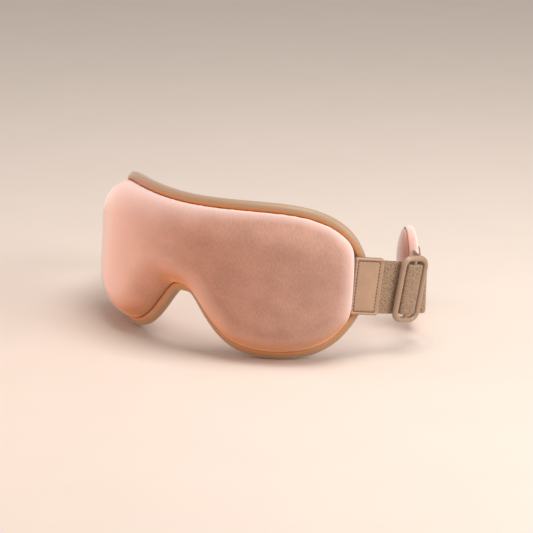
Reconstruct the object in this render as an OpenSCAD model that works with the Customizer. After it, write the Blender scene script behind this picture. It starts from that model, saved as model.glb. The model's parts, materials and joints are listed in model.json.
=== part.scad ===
// Eye massager mask with a heated, vibrating padded front and an adjustable elastic head strap.
// Frame: +X to the right of a viewer who faces the velvet front, front towards -Y, +Z up.
// The origin is on the surface that the mask stands on, below the middle of its outline.

/* [Mask outline] */
// Half width of the outline, measured along the bend
half_w = 112; // [102:1:122]
// Height of the outline at its top centre
top_z = 90; // [82:1:98]
// Height of the nose notch
notch_z = 36; // [28:1:42]
// Radius of the bend round the face
bend_r = 108; // [100:1:130]
// Backward lean of the standing mask, in degrees
lean_deg = 5; // [3:1:8]

/* [Mask layers] */
// Radius of the edge piping
pipe_r = 3.5; // [2.8:0.1:4]
// Height of the crowned front over the carrier
crown_h = 18; // [16:0.5:22]
// Width of the rounded edge of the crown
crown_edge = 19; // [15:0.5:22]
// Thickness of the velvet cover
cover_t = 1.2; // [0.8:0.1:2]
// Thickness of the front foam
foam_t = 5.5; // [4:0.5:6]
// Thickness of the carrier sheet
carrier_t = 1.2; // [0.8:0.1:2]
// Thickness of the heating films
film_t = 0.3; // [0.2:0.1:0.6]
// Thickness of the back lining
lining_t = 0.8; // [0.6:0.1:1.5]
// Clearance between soft layers
soft_gap = 0.3; // [0.25:0.05:0.4]

/* [Eye cushions and heating] */
// Distance of each eye centre from the middle, along the bend
eye_s = 54; // [50:1:58]
// Height of the eye centres
eye_z = 46; // [42:1:50]
// Half width of an eye cushion
cushion_a = 39; // [32:1:40]
// Half height of an eye cushion
cushion_b = 29; // [22:1:32]
// Depth of an eye cushion
cushion_h = 10; // [6:1:14]
// Half width of a heating film
film_a = 32; // [24:1:36]
// Half height of a heating film
film_b = 22; // [16:1:26]

/* [Vibration motors] */
// Outer radius of a motor cup
cup_r = 13; // [11:0.5:14]
// Wall of a motor cup
cup_wall = 1.2; // [1:0.1:1.6]
// Height of a motor cup without its lid
cup_h = 8; // [7.4:0.1:8.4]
// Thickness of a cup lid
lid_t = 1; // [0.8:0.1:1.2]
// Radius of a motor can
can_r = 6; // [5:0.5:7]
// Height of a motor can
can_h = 3; // [2.5:0.1:3.2]
// Radius of a motor shaft
shaft_r = 0.8; // [0.7:0.1:1]
// Radius of an eccentric weight
weight_r = 9.6; // [8:0.2:9.8]
// Thickness of an eccentric weight
weight_t = 1.8; // [1.2:0.1:1.8]

/* [Battery] */
// Width of the battery
battery_w = 34; // [28:1:38]
// Height of the battery
battery_d = 16; // [12:1:17]
// Thickness of the battery
battery_t = 4.5; // [3.5:0.1:5]

/* [Strap and tabs] */
// Width of the elastic strap
strap_w = 32.5; // [28:0.5:34]
// Thickness of the elastic strap
strap_t = 1.2; // [1:0.1:1.6]
// Height of the side tabs
tab_w = 34.5; // [31:0.5:36]
// Free length of the side tabs
tab_len = 18; // [16:0.5:19]
// Thickness of one leaf of a tab
leaf_t = 0.8; // [0.6:0.1:1.2]
// Length of strap held between the leaves
strap_tuck = 9; // [6:0.5:12]
// Clearance between the strap and the leaves
leaf_gap = 0.2; // [0.15:0.05:0.3]

/* [Slider] */
// Outer length of the slider, along the strap
slider_len = 20.4; // [17:0.2:21.6]
// Outer height of the slider
slider_h = 41.5; // [40:0.5:44]
// Diameter of the slider's frame bars
bar_d = 3.6; // [3:0.1:3.8]
// Diameter of the slider's centre bar
centre_d = 2.4; // [2:0.1:2.6]
// Centreline radius of the slider's corners
corner_r = 5; // [4:0.5:6]
// Place of the slider's middle along the strap
slider_at = 37; // [36:0.5:41]

/* [Head pad] */
// Length of the head pad along the strap
pad_len = 40; // [34:1:42]
// Height of the head pad
pad_h = 58; // [46:1:60]
// Thickness of the cushion on the head side
pad_in_t = 7; // [5:0.5:8]
// Thickness of the cushion on the outer side
pad_out_t = 3; // [2:0.5:4]
// Place of the pad's middle along the strap
pad_at = 94; // [94:0.5:95]

/* [Control pod] */
// Length of the pod along the tab
pod_len = 21; // [20:0.5:22]
// Height of the pod
pod_h = 30; // [28:0.5:32]
// Depth of the pod base
pod_base_t = 5.6; // [5.4:0.2:6.4]
// Depth of the pod cover
pod_cover_t = 2.6; // [2.4:0.2:4]
// Wall of the pod
pod_wall = 1.4; // [1.2:0.1:1.6]
// Radius of the power button
button_r = 4.6; // [4:0.1:5]
// Travel of the power button
button_travel = 0.8; // [0.5:0.1:1]
// Width of the port flap
flap_w = 12; // [11:0.5:13]

/* [Hidden] */
$fn = 48;

RIGHT = 1;
LEFT = -1;
EPS = 0.01;
COLUMNS = 24;      // cross-lines of a soft layer on each side of the middle
SPAN_STEPS = 5;    // piping rings in each span of the outline
STRAP_STEP = 2;    // ring spacing of the strap along its route
RUN_CLEAR = 0.05;  // radial clearance of a running fit
FIT_CLEAR = 0.02;  // clearance of a pressed or seated fit
SLIDE_CLEAR = 0.3; // clearance of a loose sliding fit
LOOP_TRIM = 1;     // the folded strap end draws in by this much at each edge

// ---- colours ----
VELVET = "#d9a595";
SATIN = "#b8845c";
LEATHER = "#a98a70";
ELASTIC = "#9a7d66";
PLASTIC = "#a58a72";
FOAM = "#efe6d8";
STEEL = "#b9bcc0";

// ---- outline: control points [along the bend, height] of one half, bottom middle to top middle ----
HALF = [
    [0, notch_z], [7, notch_z + 0.3], [15, notch_z - 10.5], [32, 6], [half_w - 55, 1.7],
    [half_w - 22, 6.5], [half_w - 5, 27], [half_w + 2.5, 46], [half_w - 5, top_z - 14],
    [half_w - 37, top_z + 4.5], [0, top_z - 3]
];
TIP = 7;                   // the control point at the temple
LAST = len(HALF) - 1;      // the control point at the top middle

// One control point of the closed outline; indices past either end mirror to the other side.
function control(i) =
    i < 0 ? [-HALF[-i].x, HALF[-i].y] :
    i > LAST ? [-HALF[2 * LAST - i].x, HALF[2 * LAST - i].y] : HALF[i];

// Uniform cubic B-spline through the control points, at the parameter q.
function outline(q) =
    let (i = min(floor(q), LAST), f = q - i)
    ((1 - f)^3 * control(i - 1) + (3 * f^3 - 6 * f^2 + 4) * control(i)
        + (-3 * f^3 + 3 * f^2 + 3 * f + 1) * control(i + 1) + f^3 * control(i + 2)) / 6;

// Unit normal that points into the mask.
function inward(q) =
    let (h = 0.01, t = outline(min(q + h, LAST)) - outline(max(q - h, 0)))
    [-t.y, t.x] / norm(t);

// Parameter of the upper half whose point lies as far out as s.
function upper_at(s, lo = TIP, hi = LAST, n = 18) =
    n == 0 ? (lo + hi) / 2 :
    let (mid = (lo + hi) / 2)
    outline(mid).x > s ? upper_at(s, mid, hi, n - 1) : upper_at(s, lo, mid, n - 1);

// ---- placing points on the bent, leaned mask ----
function degrees_at(s) = s / bend_r * 180 / PI;
function bent(s, z, n) =
    let (a = degrees_at(s)) [(bend_r + n) * sin(a), bend_r - (bend_r + n) * cos(a), z];
function leaned(p) =
    [p.x, p.y * cos(lean_deg) + p.z * sin(lean_deg), p.z * cos(lean_deg) - p.y * sin(lean_deg)];

PIPE_PATH = [for (k = [0 : LAST * SPAN_STEPS]) outline(k / SPAN_STEPS)];
LIFT = pipe_r - min([for (p = PIPE_PATH) leaned(bent(p.x, p.y, 0)).z]);

// ---- layers of the mask, as heights n over the carrier's front face ----
piping_inset = pipe_r + soft_gap;
cover_base = soft_gap;
foam_gap = cover_t + soft_gap;
lining_top = -carrier_t - 2 * soft_gap - film_t;
cushion_base = lining_top - lining_t - soft_gap;
tab_mid = pipe_r + soft_gap + leaf_t + leaf_gap + strap_t / 2;
tab_s = half_w - 8.5;                     // where the tabs leave the crown
crown_limit = tab_s - soft_gap;           // the crown ends short of the tabs
limit_start = crown_limit - 4.2;

// The crown's outline follows the piping and is drawn in smoothly beside the tabs.
function drawn_in(s) =
    s < limit_start ? s : limit_start + 4.7 * (1 - exp(-(s - limit_start) / 4.7));
function rim_point(q, inset, crowned) =
    let (p = outline(q) + inset * inward(q)) [crowned ? drawn_in(p.x) : p.x, p.y];

// Lower and upper ends of the cross-lines of one half, middle to temple.
function lower_rim(inset, crowned) =
    [for (k = [0 : COLUMNS]) rim_point(TIP * k / COLUMNS, inset, crowned)];
function upper_rim(inset, crowned) =
    [for (k = [0 : COLUMNS]) let (s = outline(TIP * k / COLUMNS).x)
        rim_point(k == COLUMNS ? TIP : k == 0 ? LAST : upper_at(s), inset, crowned)];

function near(p, a, b) =
    let (d = b - a, t = max(0, min(1, ((p - a) * d) / (d * d)))) norm(p - a - t * d);
function rim_distance(p, low, high) =
    min([for (k = [1 : COLUMNS]) min(near(p, low[k - 1], low[k]), near(p, high[k - 1], high[k]))]);

// Rise of the crown at a distance from its rim.
function rise(d, height, edge) =
    let (x = 1 - min(d / edge, 1)) height * (1 - x^2.2)^(1 / 2.2);

// Rows [s, z, n] of one surface, from the left temple to the right one.
function layer(inset, base, height, edge, across, crowned) =
    let (low = lower_rim(inset, crowned), high = upper_rim(inset, crowned),
         half = [for (k = [0 : COLUMNS]) [for (j = [0 : across])
             let (u = (1 - cos(180 * j / across)) / 2, p = low[k] + u * (high[k] - low[k]),
                  inside = j > 0 && j < across && k < COLUMNS)
             [p.x, p.y, base + (height > 0 && inside ? rise(rim_distance(p, low, high), height, edge) : 0)]]])
    [for (k = [-COLUMNS : COLUMNS]) [for (p = half[abs(k)]) [k < 0 ? -p.x : p.x, p.y, p.z]]];

function on_mask(p) = leaned(bent(p.x, p.y, p.z)) + [0, 0, LIFT];

// Closed solid between two surfaces that have the same rows.
module between(front, back) {
    rows = len(front);
    cells = len(front[0]);
    middle = [for (i = [1 : rows - 2]) each front[i]];
    middle_back = [for (i = [1 : rows - 2]) each back[i]];
    count = len(middle);
    tips = [front[0][0], front[rows - 1][0], back[0][0], back[rows - 1][0]];
    points = [for (p = concat(middle, middle_back, tips)) on_mask(p)];
    function id(i, j, side) = side * count + (i - 1) * cells + j;
    l_front = 2 * count;
    r_front = l_front + 1;
    l_back = l_front + 2;
    r_back = l_front + 3;
    last = cells - 1;
    ribs = rows - 2;
    faces = concat(
        [for (i = [1 : ribs - 1], j = [0 : last - 1]) each [
            [id(i, j, 0), id(i, j + 1, 0), id(i + 1, j + 1, 0)],
            [id(i, j, 0), id(i + 1, j + 1, 0), id(i + 1, j, 0)],
            [id(i, j, 1), id(i + 1, j + 1, 1), id(i, j + 1, 1)],
            [id(i, j, 1), id(i + 1, j, 1), id(i + 1, j + 1, 1)]]],
        [for (j = [0 : last - 1]) each [
            [l_front, id(1, j + 1, 0), id(1, j, 0)],
            [r_front, id(ribs, j, 0), id(ribs, j + 1, 0)],
            [l_back, id(1, j, 1), id(1, j + 1, 1)],
            [r_back, id(ribs, j + 1, 1), id(ribs, j, 1)]]],
        [for (i = [1 : ribs - 1]) each [
            [id(i, 0, 0), id(i + 1, 0, 0), id(i + 1, 0, 1)],
            [id(i, 0, 0), id(i + 1, 0, 1), id(i, 0, 1)],
            [id(i, last, 0), id(i + 1, last, 1), id(i + 1, last, 0)],
            [id(i, last, 0), id(i, last, 1), id(i + 1, last, 1)]]],
        [[l_front, id(1, 0, 0), id(1, 0, 1)], [l_front, id(1, 0, 1), l_back],
         [id(1, last, 0), l_front, l_back], [id(1, last, 0), l_back, id(1, last, 1)],
         [id(ribs, 0, 0), r_front, r_back], [id(ribs, 0, 0), r_back, id(ribs, 0, 1)],
         [r_front, id(ribs, last, 0), id(ribs, last, 1)], [r_front, id(ribs, last, 1), r_back]]
    );
    polyhedron(points = points, faces = faces, convexity = 6);
}

// Sheet of even thickness that fills the piping.
module sheet(n_low, n_high) {
    between(layer(piping_inset, n_high, 0, 1, 2, false), layer(piping_inset, n_low, 0, 1, 2, false));
}

// Crowned shell under the rim at inset, with an even wall.
module crowned_shell(inset, height, edge, wall) {
    between(layer(inset, cover_base, height, edge, 12, true),
            layer(inset + wall, cover_base, height - wall, edge - wall, 12, true));
}

// ---- generic swept and domed solids ----
// Solid through rings of points that all have the same number of points.
module skin(rings, closed = false) {
    count = len(rings);
    sides = len(rings[0]);
    points = [for (r = rings) each r];
    turns = closed ? count : count - 1;
    walls = [for (i = [0 : turns - 1], j = [0 : sides - 1])
        let (a = i * sides + j, b = i * sides + (j + 1) % sides,
             c = ((i + 1) % count) * sides + (j + 1) % sides, d = ((i + 1) % count) * sides + j)
        each [[a, b, c], [a, c, d]]];
    ends = closed ? [] : [[for (j = [sides - 1 : -1 : 0]) j],
                          [for (j = [0 : sides - 1]) (count - 1) * sides + j]];
    polyhedron(points = points, faces = [for (f = concat(walls, ends)) [for (k = [len(f) - 1 : -1 : 0]) f[k]]],
               convexity = 6);
}

// Ring of a round tube at p, square to the direction t.
function tube_ring(p, t, r, sides = 8) =
    let (side = cross(t, [0, 0.3, 1]), u = side / norm(side), v = cross(t / norm(t), u))
    [for (j = [0 : sides - 1]) p + r * (cos(360 * (j + 0.5) / sides) * u + sin(360 * (j + 0.5) / sides) * v)];

module tube(path, r, closed = false) {
    n = len(path);
    skin([for (i = [0 : n - 1])
        let (before = path[closed ? (i + n - 1) % n : max(i - 1, 0)],
             after = path[closed ? (i + 1) % n : min(i + 1, n - 1)])
        tube_ring(path[i], after - before, r)], closed);
}

// Rings of a cushion with a superellipse outline: flat back at z = 0, domed to the height h.
DOME_SIDES = 32;
DOME_RINGS = 5;
function super_ring(a, b, q, z, power) =
    [for (k = [0 : DOME_SIDES - 1]) let (c = cos(360 * k / DOME_SIDES), s = sin(360 * k / DOME_SIDES))
        [q * a * sign(c) * abs(c)^(2 / power), q * b * sign(s) * abs(s)^(2 / power), z]];
function dome_rings(a, b, h, power) =
    concat([for (q = [0.06, 0.35, 0.7]) super_ring(a, b, q, 0, power)],
           [for (i = [0 : DOME_RINGS]) let (w = 90 * i / (DOME_RINGS + 0.4))
               super_ring(a, b, cos(w), h * sin(w), power)]);
function disc_rings(a, b, t) =
    concat([for (q = [0.06, 0.4, 0.7, 1]) super_ring(a, b, q, 0, 2)],
           [for (q = [1, 0.7, 0.4, 0.06]) super_ring(a, b, q, t, 2)]);

// ---- strap route: [distance, turn, droop, roll] with angles in degrees ----
tab_roll = -asin(sin(lean_deg) * cos(degrees_at(tab_s)));
RIGHT_ROUTE = [
    [0, 0, 7, tab_roll], [18, 4, 9, tab_roll], [30, 20, 10, 3], [50, 25, 10, 3], [57, 96, -3, 0], [66, 96, -4, 0],
    [74, 80, 8, 0], [114, 80, 8, 0], [124, 80, 20, 40], [136, 84, 45, 62], [150, 130, 50, 70]
];
LEFT_ROUTE = [[0, 0, 6, tab_roll], [18, 4, 8, tab_roll], [36, 3, 10, 0], [54, 50, 22, 0], [92, 134, 26, 0]];

function column(route, c) = [for (r = route) [r[0], r[c]]];
start_deg = degrees_at(tab_s);
function heading(route, l) = start_deg + lookup(l, column(route, 1));
function droop(route, l) = lookup(l, column(route, 2));
function roll(route, l) = lookup(l, column(route, 3));
function along(route, l) =
    let (h = heading(route, l), d = droop(route, l)) [cos(h) * cos(d), sin(h) * cos(d), -sin(d)];
// Direction across the strap, upwards.
function upward(route, l) =
    let (h = heading(route, l), d = droop(route, l), r = roll(route, l))
    cos(r) * [sin(d) * cos(h), sin(d) * sin(h), cos(d)] - sin(r) * [-sin(h), cos(h), 0];
function route_start() = on_mask([tab_s, 47.8, tab_mid]);
// Frames [point, along, upward] every STRAP_STEP from the tab's root.
function frames(route) =
    let (end = route[len(route) - 1][0])
    [for (l = 0, p = route_start(); l <= end + EPS;
          p = p + STRAP_STEP * along(route, l + STRAP_STEP / 2), l = l + STRAP_STEP)
        [p, along(route, l), upward(route, l)]];
function mirrored(v) = [-v.x, v.y, v.z];

RIGHT_FRAMES = frames(RIGHT_ROUTE);
LEFT_FRAMES = [for (f = frames(LEFT_ROUTE)) [mirrored(f[0]), mirrored(f[1]), mirrored(f[2])]];

// Frame at any distance along one side.
function frame_at(list, l) =
    let (i = min(floor(l / STRAP_STEP), len(list) - 2), f = l / STRAP_STEP - i)
    [for (k = [0 : 2]) (1 - f) * list[i][k] + f * list[i + 1][k]];

// The back of the strap joins both sides with a Hermite curve that lies on the surface below.
BACK_STEPS = 28;
back_pull = 130;
// Rounds the strap where it comes down to the surface.
landing = 1.5;
function back_frames(a, b) =
    [for (i = [1 : BACK_STEPS - 1])
        let (t = i / BACK_STEPS, p = (2 * t^3 - 3 * t^2 + 1) * a[0] + (t^3 - 2 * t^2 + t) * back_pull * a[1]
                + (-2 * t^3 + 3 * t^2) * b[0] - (t^3 - t^2) * back_pull * b[1],
             d = (6 * t^2 - 6 * t) * a[0] + (3 * t^2 - 4 * t + 1) * back_pull * a[1]
                + (6 * t - 6 * t^2) * b[0] - (3 * t^2 - 2 * t) * back_pull * b[1],
             flat = [d.x, d.y, 0] / norm([d.x, d.y]),
             u = 3 * t^2 - 2 * t^3, up = (1 - u) * a[2] + u * b[2], lift = up.z / norm(up),
             rest = strap_w / 2 * lift + strap_t / 2 * sqrt(1 - lift^2) + 0.1)
        [[p.x, p.y, (p.z + rest) / 2 + norm([(p.z - rest) / 2, landing])], flat, up / norm(up)]];

strap_from = tab_len - strap_tuck;
function part_of(list, from, to) =
    concat([frame_at(list, from)],
           [for (i = [0 : len(list) - 1]) if (i * STRAP_STEP > from + 0.5 && i * STRAP_STEP < to - 0.5) list[i]],
           [frame_at(list, to)]);
right_end = (len(RIGHT_FRAMES) - 1) * STRAP_STEP;
left_end = (len(LEFT_FRAMES) - 1) * STRAP_STEP;
function backwards(list) = [for (i = [len(list) - 1 : -1 : 0]) [list[i][0], -list[i][1], list[i][2]]];
STRAP_FRAMES = concat(
    part_of(RIGHT_FRAMES, strap_from, right_end),
    back_frames(RIGHT_FRAMES[len(RIGHT_FRAMES) - 1], LEFT_FRAMES[len(LEFT_FRAMES) - 1]),
    backwards(part_of(LEFT_FRAMES, strap_from, left_end))
);

// Ribbon through frames, between two offsets to the outer side of the strap.
module ribbon(list, width, offset_in, offset_out) {
    skin([for (f = list)
        let (side = cross(f[1], f[2]), out = side / norm(side), w = width / 2 * f[2] / norm(f[2]))
        [f[0] + out * offset_in - w, f[0] + out * offset_in + w,
         f[0] + out * offset_out + w, f[0] + out * offset_out - w]]);
}

// ---- shift that centres the outline on the origin, front to back ----
front_y = min([for (k = [0 : COLUMNS]) for (u = [0.3 : 0.1 : 0.7])
    let (p = rim_point(TIP * k / COLUMNS, piping_inset, true), q = rim_point(upper_at(p.x), piping_inset, true))
    on_mask([p.x, p.y + u * (q.y - p.y), cover_base + crown_h]).y]);
rear_y = max([for (f = STRAP_FRAMES) f[0].y + strap_w / 2 * abs(f[2].y)]) + strap_t / 2;
SHIFT = [0, -(front_y + rear_y) / 2, 0];

module seated() {
    translate(SHIFT) children();
}

// Puts children on the mask: their X along the bend, their Y upwards, their Z outwards.
module at_mask(s, z, n) {
    seated() translate([0, 0, LIFT]) rotate([-lean_deg, 0, 0]) translate([0, bend_r, 0])
        rotate([0, 0, degrees_at(s)]) translate([0, -(bend_r + n), z]) rotate([90, 0, 0]) children();
}

// Puts children on a strap frame: their X along the strap, their Y upwards, their Z outwards.
module at_frame(f) {
    x = f[1] / norm(f[1]);
    out = cross(x, f[2]) / norm(cross(x, f[2]));
    y = cross(out, x);
    seated() multmatrix([[x.x, y.x, out.x, f[0].x], [x.y, y.y, out.y, f[0].y], [x.z, y.z, out.z, f[0].z]])
        children();
}

module rounded_block(x, y, z, r) {
    linear_extrude(z) {
        square([x - 2 * r, y], center = true);
        square([x, y - 2 * r], center = true);
        for (i = [-1, 1], j = [-1, 1]) translate([i * (x / 2 - r), j * (y / 2 - r)]) circle(r);
    }
}

// ---- soft layers ----
module front_cover() {
    color(VELVET) seated() crowned_shell(piping_inset, crown_h, crown_edge, cover_t);
}

module front_foam() {
    color(FOAM) seated() crowned_shell(piping_inset + foam_gap, crown_h - foam_gap, crown_edge - foam_gap, foam_t);
}

module carrier_sheet() {
    color("#5b5552") seated() sheet(-carrier_t, 0);
}

module back_lining() {
    color(VELVET) seated() sheet(lining_top - lining_t, lining_top);
}

module edge_piping() {
    half = [for (p = PIPE_PATH) on_mask([p.x, p.y, 0])];
    other = [for (i = [len(half) - 2 : -1 : 1]) mirrored(half[i])];
    color(SATIN) seated() tube(concat(half, other), pipe_r, closed = true);
}

// Rings drawn on the face side, with their z towards the face.
module on_face_side(rings, s, z, n) {
    skin([for (r = rings) [for (k = [len(r) - 1 : -1 : 0]) on_mask([s + r[k].x, z + r[k].y, n - r[k].z])]]);
}

module eye_cushion(side) {
    color(VELVET) seated()
        on_face_side(dome_rings(cushion_a, cushion_b, cushion_h, 2.3), side * eye_s, eye_z, cushion_base);
}

module heating_film(side) {
    color("#d9772f") seated()
        on_face_side(disc_rings(film_a, film_b, film_t), side * eye_s, eye_z, -carrier_t - soft_gap);
}

// ---- electronics inside the crown ----
battery_z = (notch_z + top_z) / 2;
module battery() {
    color("#8f9aa3") at_mask(0, battery_z, cover_base) rounded_block(battery_w, battery_d, battery_t, 2);
}

// Wires lie on the carrier sheet; their corners are [along the bend, height].
wire_r = 0.8;
wire_n = cover_base + wire_r;
function wire_path(corners) =
    [for (i = [0 : len(corners) - 2], f = [0 : 0.25 : i == len(corners) - 2 ? 1 : 0.75])
        let (p = (1 - f) * corners[i] + f * corners[i + 1]) on_mask([p.x, p.y, wire_n])];
module wiring_loom() {
    cup_top = eye_z + cup_r + 3;
    cup_side = eye_s - cup_r - wire_r - soft_gap;
    battery_side = battery_w / 2 + wire_r + 0.5;
    color("#c0392b") seated() {
        tube(wire_path([[-half_w + 22, eye_z + 8], [-eye_s - 9, cup_top], [-eye_s + 9, cup_top],
                        [-battery_side, battery_z + 3]]), wire_r);
        tube(wire_path([[-battery_side, battery_z - 2], [-cup_side, eye_z + 3]]), wire_r);
        tube(wire_path([[battery_side, battery_z - 2], [cup_side, eye_z + 3]]), wire_r);
    }
}

// ---- vibration motors, drawn from the carrier sheet outwards ----
boss_h = 0.5;
can_top = cup_wall + can_h;
weight_z = can_top + boss_h + SLIDE_CLEAR;

module at_motor(side) {
    at_mask(side * eye_s, eye_z, cover_base) children();
}

module motor_cup(side) {
    color("#dcdcd8") at_motor(side) difference() {
        cylinder(r = cup_r, h = cup_h);
        translate([0, 0, cup_wall]) cylinder(r = cup_r - cup_wall, h = cup_h);
    }
}

module motor_lid(side) {
    spigot_r = cup_r - cup_wall - FIT_CLEAR;
    color("#cfcfca") at_motor(side) {
        translate([0, 0, cup_h]) cylinder(r = cup_r, h = lid_t);
        translate([0, 0, cup_h - 0.8]) difference() {
            cylinder(r = spigot_r, h = 0.8 + EPS);
            translate([0, 0, -EPS]) cylinder(r = spigot_r - 1, h = 1);
        }
    }
}

module motor_can(side) {
    color(STEEL) at_motor(side) difference() {
        union() {
            translate([0, 0, cup_wall]) cylinder(r = can_r, h = can_h);
            translate([0, 0, can_top - EPS]) cylinder(r = 3 * shaft_r, h = boss_h + EPS);
        }
        translate([0, 0, cup_wall + 0.8]) cylinder(r = shaft_r + RUN_CLEAR, h = can_h + boss_h);
    }
}

module motor_shaft(side) {
    foot = cup_wall + 0.8 + RUN_CLEAR;
    color("#8c8f94") at_motor(side) translate([0, 0, foot])
        cylinder(r = shaft_r, h = weight_z + weight_t + 0.2 - foot);
}

module motor_weight(side) {
    color("#6d6a64") at_motor(side) translate([0, 0, weight_z]) difference() {
        union() {
            intersection() {
                cylinder(r = weight_r, h = weight_t);
                translate([-weight_r, -weight_r, 0]) cube([2 * weight_r, weight_r, weight_t]);
            }
            cylinder(r = 3 * shaft_r, h = weight_t);
        }
        translate([0, 0, -EPS]) cylinder(r = shaft_r + FIT_CLEAR, h = weight_t + 2 * EPS);
    }
}

// ---- side tabs: two stitched leaves that hold the end of the strap ----
leaf_from = strap_t / 2 + leaf_gap;
leaf_to = leaf_from + leaf_t;
module tab_leaf(list, front) {
    color(LEATHER) seated()
        ribbon(list, tab_w, front ? leaf_from : -leaf_to, front ? leaf_to : -leaf_from);
}
RIGHT_TAB = part_of(RIGHT_FRAMES, 0, tab_len);
LEFT_TAB = backwards(part_of(LEFT_FRAMES, 0, tab_len));

module elastic_strap() {
    color(ELASTIC) seated() ribbon(STRAP_FRAMES, strap_w, -strap_t / 2, strap_t / 2);
}

// ---- slider: a frame of round bars with a centre bar, in front of the strap ----
loop_hole = centre_d + 0.2;
loop_t = loop_hole + 2 * strap_t;
slider_out = strap_t / 2 + SLIDE_CLEAR + loop_t / 2;
bar_x = (slider_len - bar_d) / 2;
bar_y = (slider_h - bar_d) / 2;

module at_slider() {
    at_frame(frame_at(RIGHT_FRAMES, slider_at)) translate([0, 0, slider_out]) children();
}

module strap_slider() {
    color(PLASTIC) at_slider() {
        for (i = [-1, 1]) {
            translate([i * bar_x, 0, 0]) rotate([90, 0, 0])
                cylinder(d = bar_d, h = 2 * (bar_y - corner_r) + 2 * EPS, center = true);
            translate([0, i * bar_y, 0]) rotate([0, 90, 0])
                cylinder(d = bar_d, h = 2 * (bar_x - corner_r) + 2 * EPS, center = true);
        }
        for (q = [0 : 3]) {
            sx = q == 0 || q == 3 ? 1 : -1;
            sy = q < 2 ? 1 : -1;
            translate([sx * (bar_x - corner_r), sy * (bar_y - corner_r), 0]) rotate([0, 0, 90 * q])
                rotate_extrude(angle = 90) translate([corner_r, 0]) circle(d = bar_d);
        }
        rotate([90, 0, 0]) cylinder(d = centre_d, h = 2 * bar_y, center = true);
    }
}

// The folded strap end that wraps the centre bar and fills the slider's window.
module strap_loop() {
    loop_len = slider_len - 2 * bar_d - 4 * SLIDE_CLEAR;
    loop_w = strap_w - 2 * LOOP_TRIM;
    color(ELASTIC) at_slider() rotate([90, 0, 0]) linear_extrude(loop_w, center = true) difference() {
        union() {
            square([loop_len - loop_t, loop_t], center = true);
            for (i = [-1, 1]) translate([i * (loop_len - loop_t) / 2, 0]) circle(d = loop_t);
        }
        circle(d = loop_hole);
    }
}

// ---- head pad: two cushions with the strap between them ----
PAD_POWER = 2.2;

module head_pad(thickness, inner) {
    color(VELVET) at_frame(frame_at(RIGHT_FRAMES, pad_at)) rotate([0, inner ? 180 : 0, 0])
        translate([0, 0, strap_t / 2 + soft_gap])
            skin(dome_rings(pad_len / 2, pad_h / 2, thickness, PAD_POWER));
}

// ---- control pod on the left tab ----
pod_at = pod_len / 2 + 1.5;
socket_w = 9;
socket_t = 3.2;
socket_len = 7;
socket_z = pod_wall + 0.3;
board_z = pod_wall + 0.6;
board_t = 1;
switch_t = 2;
button_y = 3;
light_y = pod_h / 2 - 4;
pod_top = pod_base_t + pod_cover_t;
hinge_y = -pod_h / 2 - 1.4;
hinge_z = 1.4;
pin_r = 0.5;
barrel_r = 1.1;

module at_pod() {
    at_frame(backwards([frame_at(LEFT_FRAMES, pod_at)])[0]) translate([0, 0, leaf_to + soft_gap]) children();
}

module pod_base() {
    ear_x = flap_w / 2 + 0.2;
    color("#e9e4dc") at_pod() {
        difference() {
            rounded_block(pod_len, pod_h, pod_base_t, 3);
            translate([0, 0, pod_wall])
                rounded_block(pod_len - 2 * pod_wall, pod_h - 2 * pod_wall, pod_base_t, 3 - pod_wall);
            translate([-socket_w / 2 - 0.1, -pod_h / 2 - 1, socket_z - 0.1])
                cube([socket_w + 0.2, pod_wall + 2, socket_t + 0.2]);
        }
        for (i = [-1, 1], j = [-1, 1])
            translate([i * (pod_len / 2 - 3.2), j * (pod_h / 2 - 4), pod_wall - EPS])
                cylinder(r = 1, h = board_z - pod_wall + EPS);
        for (i = [0, 1]) mirror([i, 0, 0]) {
            translate([ear_x, hinge_y - 1, 0.3]) cube([1, 2.4 + EPS, 2.2]);
        }
        translate([0, hinge_y, hinge_z]) rotate([0, 90, 0])
            cylinder(r = pin_r, h = 2 * ear_x + 2 * EPS, center = true);
    }
}

module pod_cover() {
    color("#e9e4dc") at_pod() translate([0, 0, pod_base_t]) difference() {
        rounded_block(pod_len, pod_h, pod_cover_t, 3);
        translate([0, 0, -pod_wall])
            rounded_block(pod_len - 2 * pod_wall, pod_h - 2 * pod_wall, pod_cover_t, 3 - pod_wall);
        translate([0, button_y, -EPS]) cylinder(r = button_r + 0.15, h = pod_cover_t + 1);
        translate([0, light_y, -EPS]) cylinder(r = 1 + FIT_CLEAR, h = pod_cover_t + 1);
    }
}

module control_board() {
    inside_x = pod_len - 2 * pod_wall - 2 * SLIDE_CLEAR;
    inside_y = pod_h - 2 * pod_wall - 2 * SLIDE_CLEAR;
    color("#2f7d4f") at_pod() translate([0, 0, board_z]) difference() {
        rounded_block(inside_x, inside_y, board_t, 1.2);
        translate([-socket_w / 2 - 0.1, -pod_h / 2, -EPS])
            cube([socket_w + 0.2, socket_len + 0.2, board_t + 2 * EPS]);
    }
}

module button_switch() {
    color("#3a3a3c") at_pod() translate([0, button_y, board_z + board_t + switch_t / 2])
        cube([6, 6, switch_t], center = true);
}

module power_button() {
    flange_t = 0.8;
    flange_z = pod_top - pod_wall - RUN_CLEAR - flange_t;
    color("#c99a86") at_pod() translate([0, button_y, 0]) {
        translate([0, 0, flange_z]) cylinder(r = button_r + 1, h = flange_t);
        translate([0, 0, flange_z + flange_t - EPS]) cylinder(r = button_r, h = pod_wall + 1);
    }
}

module usb_socket() {
    color(STEEL) at_pod() translate([-socket_w / 2, -pod_h / 2 + 0.2, socket_z]) difference() {
        cube([socket_w, socket_len, socket_t]);
        translate([0.4, -EPS, 0.4]) cube([socket_w - 0.8, socket_len - 1, socket_t - 0.8]);
    }
}

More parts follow.
